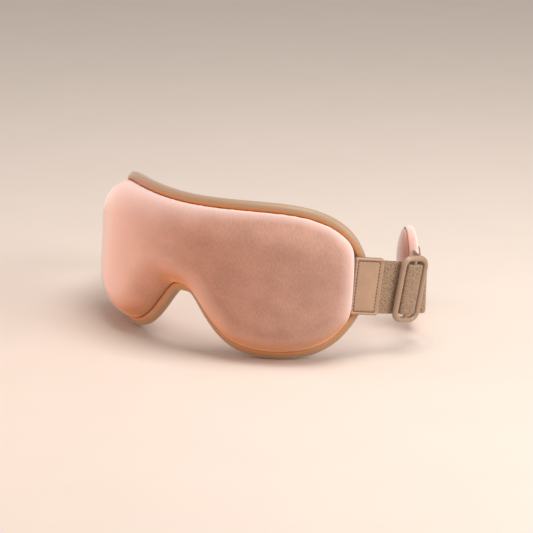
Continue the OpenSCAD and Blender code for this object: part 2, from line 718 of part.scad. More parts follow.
module port_flap() {
    color("#c99a86") at_pod() difference() {
        union() {
            translate([0, hinge_y, hinge_z]) rotate([0, 90, 0])
                cylinder(r = barrel_r, h = flap_w, center = true);
            translate([-flap_w / 2, -pod_h / 2 - SLIDE_CLEAR - 1, hinge_z])
                cube([flap_w, 1, socket_z + socket_t + 0.6 - hinge_z]);
        }
        translate([0, hinge_y, hinge_z]) rotate([0, 90, 0])
            cylinder(r = pin_r + RUN_CLEAR, h = flap_w + 1, center = true);
    }
}

module status_light() {
    color("#f2c48f") at_pod() translate([0, light_y, pod_top - pod_wall - 0.4])
        cylinder(r = 1, h = pod_wall + 0.6);
}

front_cover();
front_foam();
carrier_sheet();
back_lining();
edge_piping();
eye_cushion(LEFT);  // eye_cushion_left
eye_cushion(RIGHT);  // eye_cushion_right
heating_film(LEFT);  // heating_film_left
heating_film(RIGHT);  // heating_film_right
battery();
wiring_loom();
motor_cup(LEFT);  // motor_cup_left
motor_cup(RIGHT);  // motor_cup_right
motor_lid(LEFT);  // motor_lid_left
motor_lid(RIGHT);  // motor_lid_right
motor_can(LEFT);  // motor_can_left
motor_can(RIGHT);  // motor_can_right
motor_shaft(LEFT);  // motor_shaft_left
motor_shaft(RIGHT);  // motor_shaft_right
motor_weight(LEFT);  // motor_weight_left
motor_weight(RIGHT);  // motor_weight_right
tab_leaf(RIGHT_TAB, true);  // right_tab_front
tab_leaf(RIGHT_TAB, false);  // right_tab_back
tab_leaf(LEFT_TAB, true);  // left_tab_front
tab_leaf(LEFT_TAB, false);  // left_tab_back
elastic_strap();
strap_slider();
strap_loop();
head_pad(pad_in_t, true);  // head_pad_inner
head_pad(pad_out_t, false);  // head_pad_outer
pod_base();
pod_cover();
control_board();
button_switch();
power_button();
usb_socket();
port_flap();
status_light();
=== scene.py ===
"""Eye massager mask: velvet front, satin piping, stitched tabs, woven strap and head pad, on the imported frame."""

import json
import math

import bmesh
import bpy
import numpy as np
from bpy.props import FloatProperty, FloatVectorProperty, IntProperty, PointerProperty
from bpy.types import Operator, Panel, PropertyGroup
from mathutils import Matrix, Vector, noise


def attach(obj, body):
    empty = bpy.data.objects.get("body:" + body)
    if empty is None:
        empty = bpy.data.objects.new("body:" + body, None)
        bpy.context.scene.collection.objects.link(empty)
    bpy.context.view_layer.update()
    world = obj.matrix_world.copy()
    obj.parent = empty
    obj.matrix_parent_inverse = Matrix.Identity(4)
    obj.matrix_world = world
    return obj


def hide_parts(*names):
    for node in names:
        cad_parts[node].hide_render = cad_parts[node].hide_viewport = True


bl_info = {
    "name": "Eye massager mask",
    "version": (1, 0, 0),
    "blender": (4, 5, 0),
    "location": "View3D > Sidebar > Mask",
    "description": "Builds the soft pieces and finishes of a padded eye massager mask on its CAD frame",
    "category": "Object",
}

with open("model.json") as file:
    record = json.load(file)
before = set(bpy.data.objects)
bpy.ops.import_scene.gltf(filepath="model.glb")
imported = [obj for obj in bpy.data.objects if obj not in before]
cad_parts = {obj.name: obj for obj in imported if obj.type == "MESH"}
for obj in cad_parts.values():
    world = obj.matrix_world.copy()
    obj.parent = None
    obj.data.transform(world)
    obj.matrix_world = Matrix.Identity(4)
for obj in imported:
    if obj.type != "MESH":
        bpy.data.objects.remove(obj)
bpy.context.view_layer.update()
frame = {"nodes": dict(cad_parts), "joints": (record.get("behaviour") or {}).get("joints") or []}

MM = 0.001


# ---------------------------------------------------------------- sizes and colours


def size(label, default, about):
    """A size in millimetres."""
    return FloatProperty(name=label, default=default, description=about, min=0.0)


def colour_from_hex(code):
    """Turn an sRGB hex code into linear red, green, blue and alpha."""
    parts = [int(code[i : i + 2], 16) / 255 for i in (1, 3, 5)]
    return tuple(p / 12.92 if p <= 0.04045 else ((p + 0.055) / 1.055) ** 2.4 for p in parts) + (1.0,)


def colour(label, code, about):
    """A colour property that starts from an sRGB hex code."""
    return FloatVectorProperty(
        name=label,
        default=colour_from_hex(code),
        description=about,
        subtype="COLOR",
        size=4,
        min=0.0,
        max=1.0,
    )


class MaskSizes(PropertyGroup):
    """Sizes of the mask, the same as the CAD part's."""

    half_w: size("Half width", 112, "Half width of the outline along the bend, in millimetres")
    top_z: size("Top", 90, "Height of the outline at its top centre, in millimetres")
    notch_z: size("Notch", 36, "Height of the nose notch, in millimetres")
    bend_r: size("Bend radius", 108, "Radius of the bend round the face, in millimetres")
    lean: FloatProperty(
        name="Lean", default=math.radians(5), subtype="ANGLE", description="Backward lean of the mask"
    )
    pipe_r: size("Piping radius", 3.5, "Radius of the edge piping, in millimetres")
    gap: size("Soft gap", 0.3, "Clearance between soft layers, in millimetres")
    crown_h: size("Crown height", 18, "Height of the padded front over its carrier, in millimetres")
    crown_edge: size("Crown edge", 19, "Width of the rounded edge of the padded front, in millimetres")
    overhang: size("Overhang", 2.3, "How far the padded front bulges out over its seam, in millimetres")
    cover_t: size("Cover thickness", 1.2, "Thickness of the velvet cover, in millimetres")
    carrier_t: size("Carrier thickness", 1.2, "Thickness of the carrier sheet, in millimetres")
    film_t: size("Film thickness", 0.3, "Thickness of the heating films, in millimetres")
    lining_t: size("Lining thickness", 0.8, "Thickness of the back lining, in millimetres")
    eye_s: size("Eye distance", 54, "Distance of each eye centre from the middle, along the bend, in millimetres")
    eye_z: size("Eye height", 46, "Height of the eye centres, in millimetres")
    cushion_a: size("Cushion half width", 39, "Half width of an eye cushion, in millimetres")
    cushion_b: size("Cushion half height", 29, "Half height of an eye cushion, in millimetres")
    cushion_h: size("Cushion depth", 10, "Depth of an eye cushion, in millimetres")
    strap_w: size("Strap width", 32.5, "Width of the elastic strap, in millimetres")
    strap_t: size("Strap thickness", 1.2, "Thickness of the elastic strap, in millimetres")
    tab_w: size("Tab height", 34.5, "Height of the side tabs, in millimetres")
    tab_len: size("Tab length", 18, "Free length of the side tabs, in millimetres")
    leaf_t: size("Leaf thickness", 0.8, "Thickness of one leaf of a tab, in millimetres")
    leaf_gap: size("Leaf gap", 0.2, "Clearance between the strap and a leaf, in millimetres")
    strap_tuck: size("Strap tuck", 9, "Length of strap held between the leaves, in millimetres")
    slider_at: size("Slider place", 37, "Place of the slider's middle along the strap, in millimetres")
    loop_len: size("Loop length", 12.0, "Length of the strap loop in the slider's window, in millimetres")
    loop_t: size("Loop thickness", 5.0, "Thickness of the strap loop, in millimetres")
    loop_w: size("Loop height", 30.5, "Height of the strap loop, in millimetres")
    slider_out: size("Slider offset", 3.4, "Distance of the slider's middle from the strap's, in millimetres")
    pad_len: size("Head pad length", 40, "Length of the head pad, in millimetres")
    pad_h: size("Head pad height", 58, "Height of the head pad, in millimetres")
    pad_in_t: size("Inner pad thickness", 7, "Thickness of the head pad on the head side, in millimetres")
    pad_out_t: size("Outer pad thickness", 3, "Thickness of the head pad on the outer side, in millimetres")
    pad_at: size("Head pad place", 94, "Place of the head pad's middle along the strap, in millimetres")
    columns: IntProperty(name="Columns", default=104, description="Cross-lines of the velvet on each side", min=24)
    across: IntProperty(name="Rows", default=64, description="Cells across the velvet", min=12)


class MaskColours(PropertyGroup):
    """Colours of the fabrics, plastics and floor, with the painted sheen, glow and shade of the fabrics."""

    velvet: colour("Velvet", "#b99080", "Pile of the velvet in its shaded middle tone")
    # The next colour is a painted sheen, mixed into the velvet's base colour where the surface turns away; the knit
    # uses it as its sheen tint.
    velvet_sheen: colour("Velvet tips", "#f3d8d4", "Pile tips of the velvet, where light grazes them")
    # The next colour is a painted warm glow, put on the velvet where its surface faces down.
    velvet_painted_glow: colour("Velvet underside", "#cf8f5e", "Pile tips of the velvet where it turns under")
    pad: colour("Head pad", "#deb5a9", "Pile of the head pad's outer velvet")
    # The next colour is a darker copy of the head pad's velvet: painted shade for the head side, which is turned away
    # from the lights.
    pad_face: colour("Head pad face", "#c08a76", "Pile of the head pad on the head side")
    lining: colour("Lining", "#d3a598", "Brushed knit on the face side")
    satin: colour("Satin", "#ad8e72", "Satin tape of the piping")
    # The next colour is a painted warm glow, put on the satin tape beside the crown.
    satin_painted_glow: colour("Warm satin", "#d2945f", "Satin tape on the side next to the crown")
    thread: colour("Thread", "#5f4636", "Stitching thread of the tabs")
    # The edge seam's thread is real, and its bright orange colour is a painted warm glow along the groove between
    # crown and piping.
    seam_thread_glow: colour("Seam thread", "#c98549", "Stitching thread of the edge seam")
    leather: colour("Leather", "#b29178", "Smooth coated leather of the tabs")
    elastic_dark: colour("Elastic shade", "#7b6250", "Dark yarn of the elastic")
    elastic_light: colour("Elastic light", "#b4987d", "Light yarn of the elastic")
    slider: colour("Slider", "#a58870", "Moulded plastic of the slider")
    pod: colour("Pod", "#d9c7b6", "Moulded plastic of the control pod")
    floor: colour("Floor", "#e2d5cb", "Plain pale floor")


# ---------------------------------------------------------------- curves of the mask


class MaskSurface:
    """The outline, layers and strap route of the mask, in metres in the row frame."""

    TIP = 7
    LAST = 10

    def __init__(self, s):
        self.s = s
        self.half = np.array(
            [
                [0, s.notch_z], [7, s.notch_z + 0.3], [15, s.notch_z - 10.5], [32, 6], [s.half_w - 55, 1.7],
                [s.half_w - 22, 6.5], [s.half_w - 5, 27], [s.half_w + 2.5, 46], [s.half_w - 5, s.top_z - 14],
                [s.half_w - 37, s.top_z + 4.5], [0, s.top_z - 3],
            ]
        )
        self.origin = np.zeros(3)
        # The right motor's axis starts on the carrier at the eye, which places the surface in the row frame.
        joint = next(j for j in frame["joints"] if j["name"] == "right_rotor_spin")
        self.origin = np.array(joint["pos_m"]) - self.place(s.eye_s, s.eye_z, s.gap)
        self.tab_s = s.half_w - 8.5
        self.leaf_from = s.strap_t / 2 + s.leaf_gap
        self.leaf_to = self.leaf_from + s.leaf_t
        self.tab_mid = s.pipe_r + s.gap + self.leaf_to
        self.inset = s.pipe_r + s.gap
        self.lining_top = -s.carrier_t - 2 * s.gap - s.film_t
        self.cushion_base = self.lining_top - s.lining_t - s.gap
        self.route_frames()

    def place(self, s, z, n):
        """Put a point given along the bend, up and outwards, in millimetres, into the row frame."""
        r = self.s.bend_r
        s, z, n = np.broadcast_arrays(*(np.asarray(v, float) for v in (s, z, n)))
        a = s / r
        x = (r + n) * np.sin(a)
        y = r - (r + n) * np.cos(a)
        c, d = math.cos(self.s.lean), math.sin(self.s.lean)
        return np.stack([x, y * c + z * d, z * c - y * d], axis=-1) * MM + self.origin

    def control(self, i):
        i = np.asarray(i)
        side = np.where((i < 0) | (i > self.LAST), -1.0, 1.0)
        k = np.where(i < 0, -i, np.where(i > self.LAST, 2 * self.LAST - i, i))
        return self.half[k] * np.stack([side, np.ones_like(side)], axis=-1)

    def outline(self, q):
        """Uniform cubic B-spline of one half, from the bottom middle (0) to the top middle (LAST)."""
        q = np.asarray(q, float)
        i = np.minimum(np.floor(q).astype(int), self.LAST)
        f = (q - i)[..., None]
        return (
            (1 - f) ** 3 * self.control(i - 1)
            + (3 * f**3 - 6 * f**2 + 4) * self.control(i)
            + (-3 * f**3 + 3 * f**2 + 3 * f + 1) * self.control(i + 1)
            + f**3 * self.control(i + 2)
        ) / 6

    def inward(self, q):
        t = self.outline(np.minimum(q + 0.01, self.LAST)) - self.outline(np.maximum(q - 0.01, 0))
        return np.stack([-t[..., 1], t[..., 0]], axis=-1) / np.linalg.norm(t, axis=-1, keepdims=True)

    def drawn_in(self, s):
        """The crown's outline is drawn in smoothly beside the tabs."""
        start = self.tab_s - self.s.gap - 4.2
        return np.where(s < start, s, start + 4.7 * (1 - np.exp(-(np.maximum(s, start) - start) / 4.7)))

    def rim(self, q, inset, crowned):
        p = self.outline(q) + inset * self.inward(q)
        return np.stack([self.drawn_in(p[..., 0]) if crowned else p[..., 0], p[..., 1]], axis=-1)

    def closed_rim(self, inset, count, crowned=False):
        """The whole outline as evenly spaced points, with its running length."""
        q = np.linspace(0, self.LAST, 1201)
        half = self.rim(q, inset, crowned)
        loop = np.vstack([half, (half * [-1, 1])[-2:0:-1]])
        ring = np.vstack([loop, loop[:1]])
        run = np.concatenate([[0], np.cumsum(np.linalg.norm(np.diff(ring, axis=0), axis=1))])
        at = np.linspace(0, run[-1], count, endpoint=False)
        return np.stack([np.interp(at, run, ring[:, k]) for k in (0, 1)], axis=-1), at

    def cross_lines(self, inset, columns, across, crowned):
        """Rows of [along, up] points that fill the outline, from the left temple to the right one."""
        q = np.linspace(0, self.TIP, columns + 1)
        upper = np.linspace(self.TIP, self.LAST, 4001)
        s_up = self.outline(upper)[:, 0]
        q_up = np.interp(-self.outline(q)[:, 0], -s_up, upper)
        q_up[0], q_up[-1] = self.LAST, self.TIP
        low, high = self.rim(q, inset, crowned), self.rim(q_up, inset, crowned)
        u = (1 - np.cos(np.pi * np.arange(across + 1) / across)) / 2
        half = low[:, None, :] + u[None, :, None] * (high - low)[:, None, :]
        return np.concatenate([half[:0:-1] * [-1, 1], half], axis=0)

    def rise(self, d, height, edge):
        x = 1 - np.minimum(d / edge, 1)
        return height * (1 - x**2.2) ** (1 / 2.2)

    # ---- strap route, as in the CAD part: distance, turn, droop and roll

    def route_frames(self):
        s = self.s
        start = math.degrees(self.tab_s / s.bend_r)
        roll = -math.degrees(math.asin(math.sin(s.lean) * math.cos(math.radians(start))))
        right = [
            (0, 0, 7, roll), (18, 4, 9, roll), (30, 20, 10, 3), (50, 25, 10, 3), (57, 96, -3, 0), (66, 96, -4, 0),
            (74, 80, 8, 0), (114, 80, 8, 0), (124, 80, 20, 40), (136, 84, 45, 62), (150, 130, 50, 70),
        ]
        left = [(0, 0, 6, roll), (18, 4, 8, roll), (36, 3, 10, 0), (54, 50, 22, 0), (92, 134, 26, 0)]
        self.right = self.walk(right, start)
        self.left = [f * [-1, 1, 1] for f in self.walk(left, start)]

    def walk(self, route, start, step=0.5):
        """Frames [point, along, upward] every step along a route that leaves the right tab's root."""
        table = np.array(route, float)
        at = lambda l, c: np.radians(np.interp(l, table[:, 0], table[:, c]))

        def directions(l):
            h, d, r = at(l, 1) + math.radians(start), at(l, 2), at(l, 3)
            along = np.array([math.cos(h) * math.cos(d), math.sin(h) * math.cos(d), -math.sin(d)])
            up = np.array([math.sin(d) * math.cos(h), math.sin(d) * math.sin(h), math.cos(d)])
            return along, math.cos(r) * up - math.sin(r) * np.array([-math.sin(h), math.cos(h), 0])

        p = self.place(self.tab_s, 47.8, self.tab_mid)
        frames = []
        for i in range(int(table[-1, 0] / step) + 1):
            along, up = directions(i * step)
            frames.append(np.array([p, along, up]))
            p = p + step * MM * directions((i + 0.5) * step)[0]
        return frames

    def frame_at(self, frames, l, step=0.5):
        i = min(int(l / step), len(frames) - 2)
        f = l / step - i
        return (1 - f) * frames[i] + f * frames[i + 1]

    def strap_frames(self):
        """Frames of the whole strap, from the right tab round the back to the left tab."""
        s = self.s
        first = int((s.tab_len - s.strap_tuck) / 0.5)
        a, b = self.right[-1], self.left[-1]
        pull = 0.130
        landing = 0.0015
        back = []
        steps = 220
        for i in range(1, steps):
            t = i / steps
            p = (2 * t**3 - 3 * t**2 + 1) * a[0] + (t**3 - 2 * t**2 + t) * pull * a[1]
            p = p + (3 * t**2 - 2 * t**3) * b[0] - (t**3 - t**2) * pull * b[1]
            d = (6 * t**2 - 6 * t) * a[0] + (3 * t**2 - 4 * t + 1) * pull * a[1]
            d = d + (6 * t - 6 * t**2) * b[0] - (3 * t**2 - 2 * t) * pull * b[1]
            flat = np.array([d[0], d[1], 0]) / math.hypot(d[0], d[1])
            u = 3 * t**2 - 2 * t**3
            up = (1 - u) * a[2] + u * b[2]
            up = up / np.linalg.norm(up)
            rest = (s.strap_w / 2 * up[2] + s.strap_t / 2 * math.sqrt(max(0, 1 - up[2] ** 2)) + 0.1) * MM
            height = (p[2] + rest) / 2 + math.hypot((p[2] - rest) / 2, landing)
            back.append(np.array([[p[0], p[1], height], flat, up]))
        return self.right[first:] + back + [f * [[1], [-1], [1]] for f in self.left[first:][::-1]]


def outward(f):
    """Unit vector to the outer side of the strap at a frame."""
    side = np.cross(f[1], f[2])
    return side / np.linalg.norm(side)


# ---------------------------------------------------------------- meshes


def make_piece(name, points, faces, uvs=None, sharp=60.0):
    """Make a smooth-shaded mesh object from points in metres and faces, with a UV map in millimetres."""
    mesh = bpy.data.meshes.new(name)
    mesh.from_pydata([tuple(p) for p in points], [], [tuple(f) for f in faces])
    if uvs is not None:
        layer = mesh.uv_layers.new(name="Millimetres")
        index = np.empty(len(mesh.loops), int)
        mesh.loops.foreach_get("vertex_index", index)
        layer.data.foreach_set("uv", np.asarray(uvs, float)[index].ravel())
    work = bmesh.new()
    work.from_mesh(mesh)
    bmesh.ops.recalc_face_normals(work, faces=work.faces)
    work.to_mesh(mesh)
    work.free()
    mesh.shade_smooth()
    mesh.set_sharp_from_angle(angle=math.radians(sharp))
    piece = bpy.data.objects.new(name, mesh)
    bpy.context.scene.collection.objects.link(piece)
    return piece


def grid_faces(rows, cols, start=0, close_rows=False, close_cols=False):
    """Quads over a grid of points stored row by row."""
    last_row = rows if close_rows else rows - 1
    last_col = cols if close_cols else cols - 1
    return [
        (
            start + i * cols + j,
            start + i * cols + (j + 1) % cols,
            start + ((i + 1) % rows) * cols + (j + 1) % cols,
            start + ((i + 1) % rows) * cols + j,
        )
        for i in range(last_row)
        for j in range(last_col)
    ]


def slab(name, front, back, uv, sharp=60.0):
    """Closed piece between two grids of points of the same shape (rows, columns, 3)."""
    rows, cols = front.shape[:2]
    count = rows * cols
    faces = grid_faces(rows, cols) + [f[::-1] for f in grid_faces(rows, cols, count)]
    edge = [(0, j) for j in range(cols)] + [(i, cols - 1) for i in range(1, rows)]
    edge += [(rows - 1, j) for j in range(cols - 2, -1, -1)] + [(i, 0) for i in range(rows - 2, 0, -1)]
    ring = [i * cols + j for i, j in edge]
    faces += [(a, b, b + count, a + count) for a, b in zip(ring, ring[1:] + ring[:1])]
    points = np.concatenate([front.reshape(-1, 3), back.reshape(-1, 3)])
    flat = uv.reshape(-1, 2)
    return make_piece(name, points, faces, np.concatenate([flat, flat]), sharp)


def tube(name, path, normals, others, radius, uvs, closed=True, sides=20):
    """Tube along a path, with its radius given for each ring and side."""
    count = len(path)
    turn = 2 * np.pi * np.arange(sides + 1) / sides
    across = np.cos(turn)[None, :, None] * normals[:, None, :]
    ring = across + np.sin(turn)[None, :, None] * others[:, None, :]
    points = path[:, None, :] + radius[:, :, None] * ring
    faces = grid_faces(count, sides + 1, close_rows=closed)
    return make_piece(name, points.reshape(-1, 3), faces, uvs)


def stitches(name, centres, along, out, length, width, proud):
    """Thread stitches as small rounded bars that lie along a line of points."""
    points, faces = [], []
    rings, sides = 5, 6
    for c, a, o in zip(centres, along, out):
        a = a / np.linalg.norm(a)
        o = o / np.linalg.norm(o)
        w = np.cross(o, a)
        base = len(points)
        for i in range(rings):
            t = math.pi * i / (rings - 1)
            x = -math.cos(t) * length / 2
            swell = 0.35 + 0.65 * math.sin(t)
            for j in range(sides):
                g = 2 * math.pi * j / sides
                points.append(c + a * x + (w * math.cos(g) * width / 2 + o * math.sin(g) * proud) * swell)
        faces += grid_faces(rings, sides, base, close_cols=True)
        last = base + (rings - 1) * sides
        faces += [tuple(range(base, base + sides)), tuple(range(last, last + sides))]
    return make_piece(name, points, faces, np.zeros((len(points), 2)))


def puff(piece, voxel, pressure, cap, frames=20):
    """Inflate a closed soft piece as cloth, hold each point within cap of where it was, and smooth the result."""
    scene = bpy.context.scene
    for other in bpy.context.selected_objects:
        other.select_set(False)
    bpy.context.view_layer.objects.active = piece
    piece.select_set(True)
    remesh = piece.modifiers.new("Remesh", "REMESH")
    remesh.mode = "VOXEL"
    remesh.voxel_size = voxel
    remesh.use_smooth_shade = True
    bpy.ops.object.modifier_apply(modifier=remesh.name)
    count = len(piece.data.vertices)
    before = np.empty(count * 3)
    piece.data.vertices.foreach_get("co", before)
    cloth = piece.modifiers.new("Cloth", "CLOTH")
    cloth.settings.use_pressure = True
    cloth.settings.uniform_pressure_force = pressure
    cloth.settings.effector_weights.gravity = 0
    cloth.settings.quality = 5
    cloth.point_cache.frame_start = 1
    cloth.point_cache.frame_end = frames
    for number in range(1, frames + 1):
        scene.frame_set(number)
    bpy.ops.object.modifier_apply(modifier=cloth.name)
    after = np.empty(count * 3)
    piece.data.vertices.foreach_get("co", after)
    move = (after - before).reshape(-1, 3)
    far = np.linalg.norm(move, axis=1, keepdims=True)
    held = before.reshape(-1, 3) + move * np.minimum(1, cap / np.maximum(far, 1e-9))
    piece.data.vertices.foreach_set("co", held.ravel())
    smooth = piece.modifiers.new("Subdivision", "SUBSURF")
    smooth.levels = 1
    bpy.ops.object.modifier_apply(modifier=smooth.name)
    piece.data.shade_smooth()
    scene.frame_set(1)


def super_ellipse(a, b, count, power):
    turn = 2 * np.pi * np.arange(count) / count
    c, s = np.cos(turn), np.sin(turn)
    exponent = 2 / power
    return np.stack([a * np.sign(c) * np.abs(c) ** exponent, b * np.sign(s) * np.abs(s) ** exponent], axis=-1)


def seat(piece, body, material, nodes=()):
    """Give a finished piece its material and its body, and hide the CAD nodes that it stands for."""
    piece.data.materials.clear()
    piece.data.materials.append(material)
    if nodes:
        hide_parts(*nodes)
    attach(piece, body)
    return piece


# ---------------------------------------------------------------- materials


def add_node(tree, kind, settings=None, **links):
    """Add a node, set its properties and input values, and link named inputs from other sockets."""
    node = tree.nodes.new(kind)
    for key, value in (settings or {}).items():
        if key in node.inputs:
            node.inputs[key].default_value = value
        else:
            setattr(node, key, value)
    for key, socket in links.items():
        tree.links.new(socket, node.inputs[key.replace("_", " ")])
    return node


def new_material(name, settings):
    """A material with one Principled shader and its constant settings."""
    material = bpy.data.materials.new(name)
    material.use_nodes = True
    tree = material.node_tree
    shader = tree.nodes["Principled BSDF"]
    for key, value in settings.items():
        shader.inputs[key].default_value = value
    return material, tree, shader


def scaled_coordinates(tree, source, stretch=(1, 1, 1), turn=0.0):
    """Coordinates in millimetres: source is the UV map in millimetres or the object's metres."""
    where = add_node(tree, "ShaderNodeTexCoord")
    unit = 1.0 if source == "UV" else 1 / MM
    mapping = add_node(tree, "ShaderNodeMapping", Vector=where.outputs[source])
    mapping.inputs["Scale"].default_value = tuple(unit * v for v in stretch)
    mapping.inputs["Rotation"].default_value = (0, 0, turn)
    return mapping.outputs["Vector"]


def mixed(tree, factor, first, second, low=0.35, high=0.65):
    """Blend two colours by a pattern, between two of its levels."""
    level = add_node(tree, "ShaderNodeMapRange", {"From Min": low, "From Max": high}, Value=factor)
    mix = add_node(tree, "ShaderNodeMix", {"data_type": "RGBA"})
    tree.links.new(level.outputs["Result"], mix.inputs["Factor"])
    mix.inputs[6].default_value = first
    mix.inputs[7].default_value = second
    return mix.outputs[2]


def darker(tone, share):
    return tuple(c * share for c in tone[:3]) + (1.0,)


def velvet(name, base, sheen_colour, under, source="UV"):
    """Short-pile polyester velvet, sheared and brushed, with a painted sheen: dark head on, painted pale and soft
    where the surface is seen from the side, and a painted warm glow underneath.
    """
    material, tree, shader = new_material(
        name,
        {
            "Roughness": 0.9,
            "Specular IOR Level": 0.12,
            "Sheen Weight": 1.0,
            "Sheen Roughness": 0.3,
            "Sheen Tint": (1.0, 0.97, 0.95, 1.0),
        },
    )
    # Pile leans in patches about 14 mm across.
    patches = add_node(
        tree, "ShaderNodeTexNoise", {"Scale": 1 / 14, "Detail": 3.0}, Vector=scaled_coordinates(tree, source)
    )
    tone = mixed(tree, patches.outputs["Fac"], darker(base, 0.93), darker(base, 1.07))
    # Brush strokes of the pile, about 0.7 mm across and 2 mm long, coarser than the fibres so that they show.
    strokes = add_node(
        tree,
        "ShaderNodeTexNoise",
        {"Scale": 1.0, "Detail": 2.0},
        Vector=scaled_coordinates(tree, source, (1.4, 0.5, 1.0), 0.9),
    )
    speckle = add_node(tree, "ShaderNodeMix", {"data_type": "RGBA", "blend_type": "SOFT_LIGHT"})
    speckle.inputs["Factor"].default_value = 0.35
    tree.links.new(tone, speckle.inputs[6])
    tree.links.new(strokes.outputs["Fac"], speckle.inputs[7])
    # Painted sheen: the base colour is mixed toward a pale sheen colour where the surface turns away from the view.
    turned = add_node(tree, "ShaderNodeLayerWeight", {"Blend": 0.5})
    share = add_node(tree, "ShaderNodeMapRange", {"From Min": 0.16, "From Max": 0.78}, Value=turned.outputs["Facing"])
    # Painted light: the painted sheen is pale where the surface faces up and at the sides, and turns to a painted
    # warm orange glow where the surface faces down.
    where = add_node(tree, "ShaderNodeTexCoord")
    facing = add_node(tree, "ShaderNodeSeparateXYZ", Vector=where.outputs["Normal"])
    tips = mixed(tree, facing.outputs["Z"], under, sheen_colour, -0.55, -0.05)
    sheen = add_node(tree, "ShaderNodeMix", {"data_type": "RGBA"})
    tree.links.new(share.outputs["Result"], sheen.inputs["Factor"])
    tree.links.new(speckle.outputs[2], sheen.inputs[6])
    tree.links.new(tips, sheen.inputs[7])
    tree.links.new(sheen.outputs[2], shader.inputs["Base Color"])
    bump = add_node(
        tree, "ShaderNodeBump", {"Strength": 0.35, "Distance": 0.0003}, Height=strokes.outputs["Fac"]
    )
    tree.links.new(bump.outputs["Normal"], shader.inputs["Normal"])
    return material


def satin(name, base, warm):
    """Polyester satin bias tape, woven with long floats: a soft bright line where it turns over the cord, and a
    painted warm glow beside the crown.
    """
    material, tree, shader = new_material(
        name,
        {
            "Roughness": 0.42,
            "Specular IOR Level": 0.5,
            "Sheen Weight": 0.7,
            "Sheen Roughness": 0.35,
            "Anisotropic": 0.4,
        },
    )
    # Bias-cut threads, drawn 0.9 mm apart so that they show.
    threads = add_node(
        tree,
        "ShaderNodeTexWave",
        {"Scale": 1 / 0.9 / 3, "Distortion": 0.6, "Detail": 1.0},
        Vector=scaled_coordinates(tree, "UV", (1, 1, 1), 0.785),
    )
    tone = mixed(tree, threads.outputs["Fac"], darker(base, 0.94), darker(base, 1.05), 0.2, 0.8)
    # Painted glow: the tape is painted warm orange beside the crown, from 16 to 22 mm round the cord.
    round_cord = add_node(tree, "ShaderNodeSeparateXYZ", Vector=scaled_coordinates(tree, "UV"))
    beside = add_node(tree, "ShaderNodeMapRange", {"From Min": 17.0, "From Max": 20.5}, Value=round_cord.outputs["Y"])
    blend = add_node(tree, "ShaderNodeMix", {"data_type": "RGBA"})
    tree.links.new(beside.outputs["Result"], blend.inputs["Factor"])
    tree.links.new(tone, blend.inputs[6])
    blend.inputs[7].default_value = warm
    tree.links.new(blend.outputs[2], shader.inputs["Base Color"])
    bump = add_node(
        tree, "ShaderNodeBump", {"Strength": 0.18, "Distance": 0.0002}, Height=threads.outputs["Fac"]
    )
    tree.links.new(bump.outputs["Normal"], shader.inputs["Normal"])
    return material


def brushed_knit(name, base, sheen_colour):
    """Brushed polyester tricot: a matt, slightly fuzzy knit with fine wales."""
    material, tree, shader = new_material(
        name,
        {
            "Roughness": 0.92,
            "Specular IOR Level": 0.15,
            "Sheen Weight": 0.5,
            "Sheen Roughness": 0.45,
            "Sheen Tint": sheen_colour,
        },
    )
    # Wales drawn 1.2 mm apart.
    cells = add_node(
        tree,
        "ShaderNodeTexVoronoi",
        {"Scale": 1 / 1.2},
        Vector=scaled_coordinates(tree, "Object", (1, 1, 0.7)),
    )
    tone = mixed(tree, cells.outputs["Distance"], darker(base, 1.04), darker(base, 0.9), 0.1, 0.7)
    tree.links.new(tone, shader.inputs["Base Color"])
    bump = add_node(
        tree,
        "ShaderNodeBump",
        {"Strength": 0.3, "Distance": 0.0002, "invert": True},
        Height=cells.outputs["Distance"],
    )
    tree.links.new(bump.outputs["Normal"], shader.inputs["Normal"])
    return material


def coated_leather(name, base):
    """Split leather with a pressed polyurethane coat: smooth, with a fine grain and a low satin gloss."""
    material, tree, shader = new_material(name, {"Roughness": 0.46, "Specular IOR Level": 0.45})
    # Grain cells 0.7 mm across.
    grain = add_node(
        tree, "ShaderNodeTexVoronoi", {"Scale": 1 / 0.7}, Vector=scaled_coordinates(tree, "UV")
    )
    worn = add_node(
        tree, "ShaderNodeTexNoise", {"Scale": 1 / 9, "Detail": 3.0}, Vector=scaled_coordinates(tree, "UV")
    )
    tone = mixed(tree, worn.outputs["Fac"], darker(base, 0.94), darker(base, 1.06))
    tree.links.new(tone, shader.inputs["Base Color"])
    bump = add_node(
        tree, "ShaderNodeBump", {"Strength": 0.12, "Distance": 0.0001}, Height=grain.outputs["Distance"]
    )
    tree.links.new(bump.outputs["Normal"], shader.inputs["Normal"])
    return material


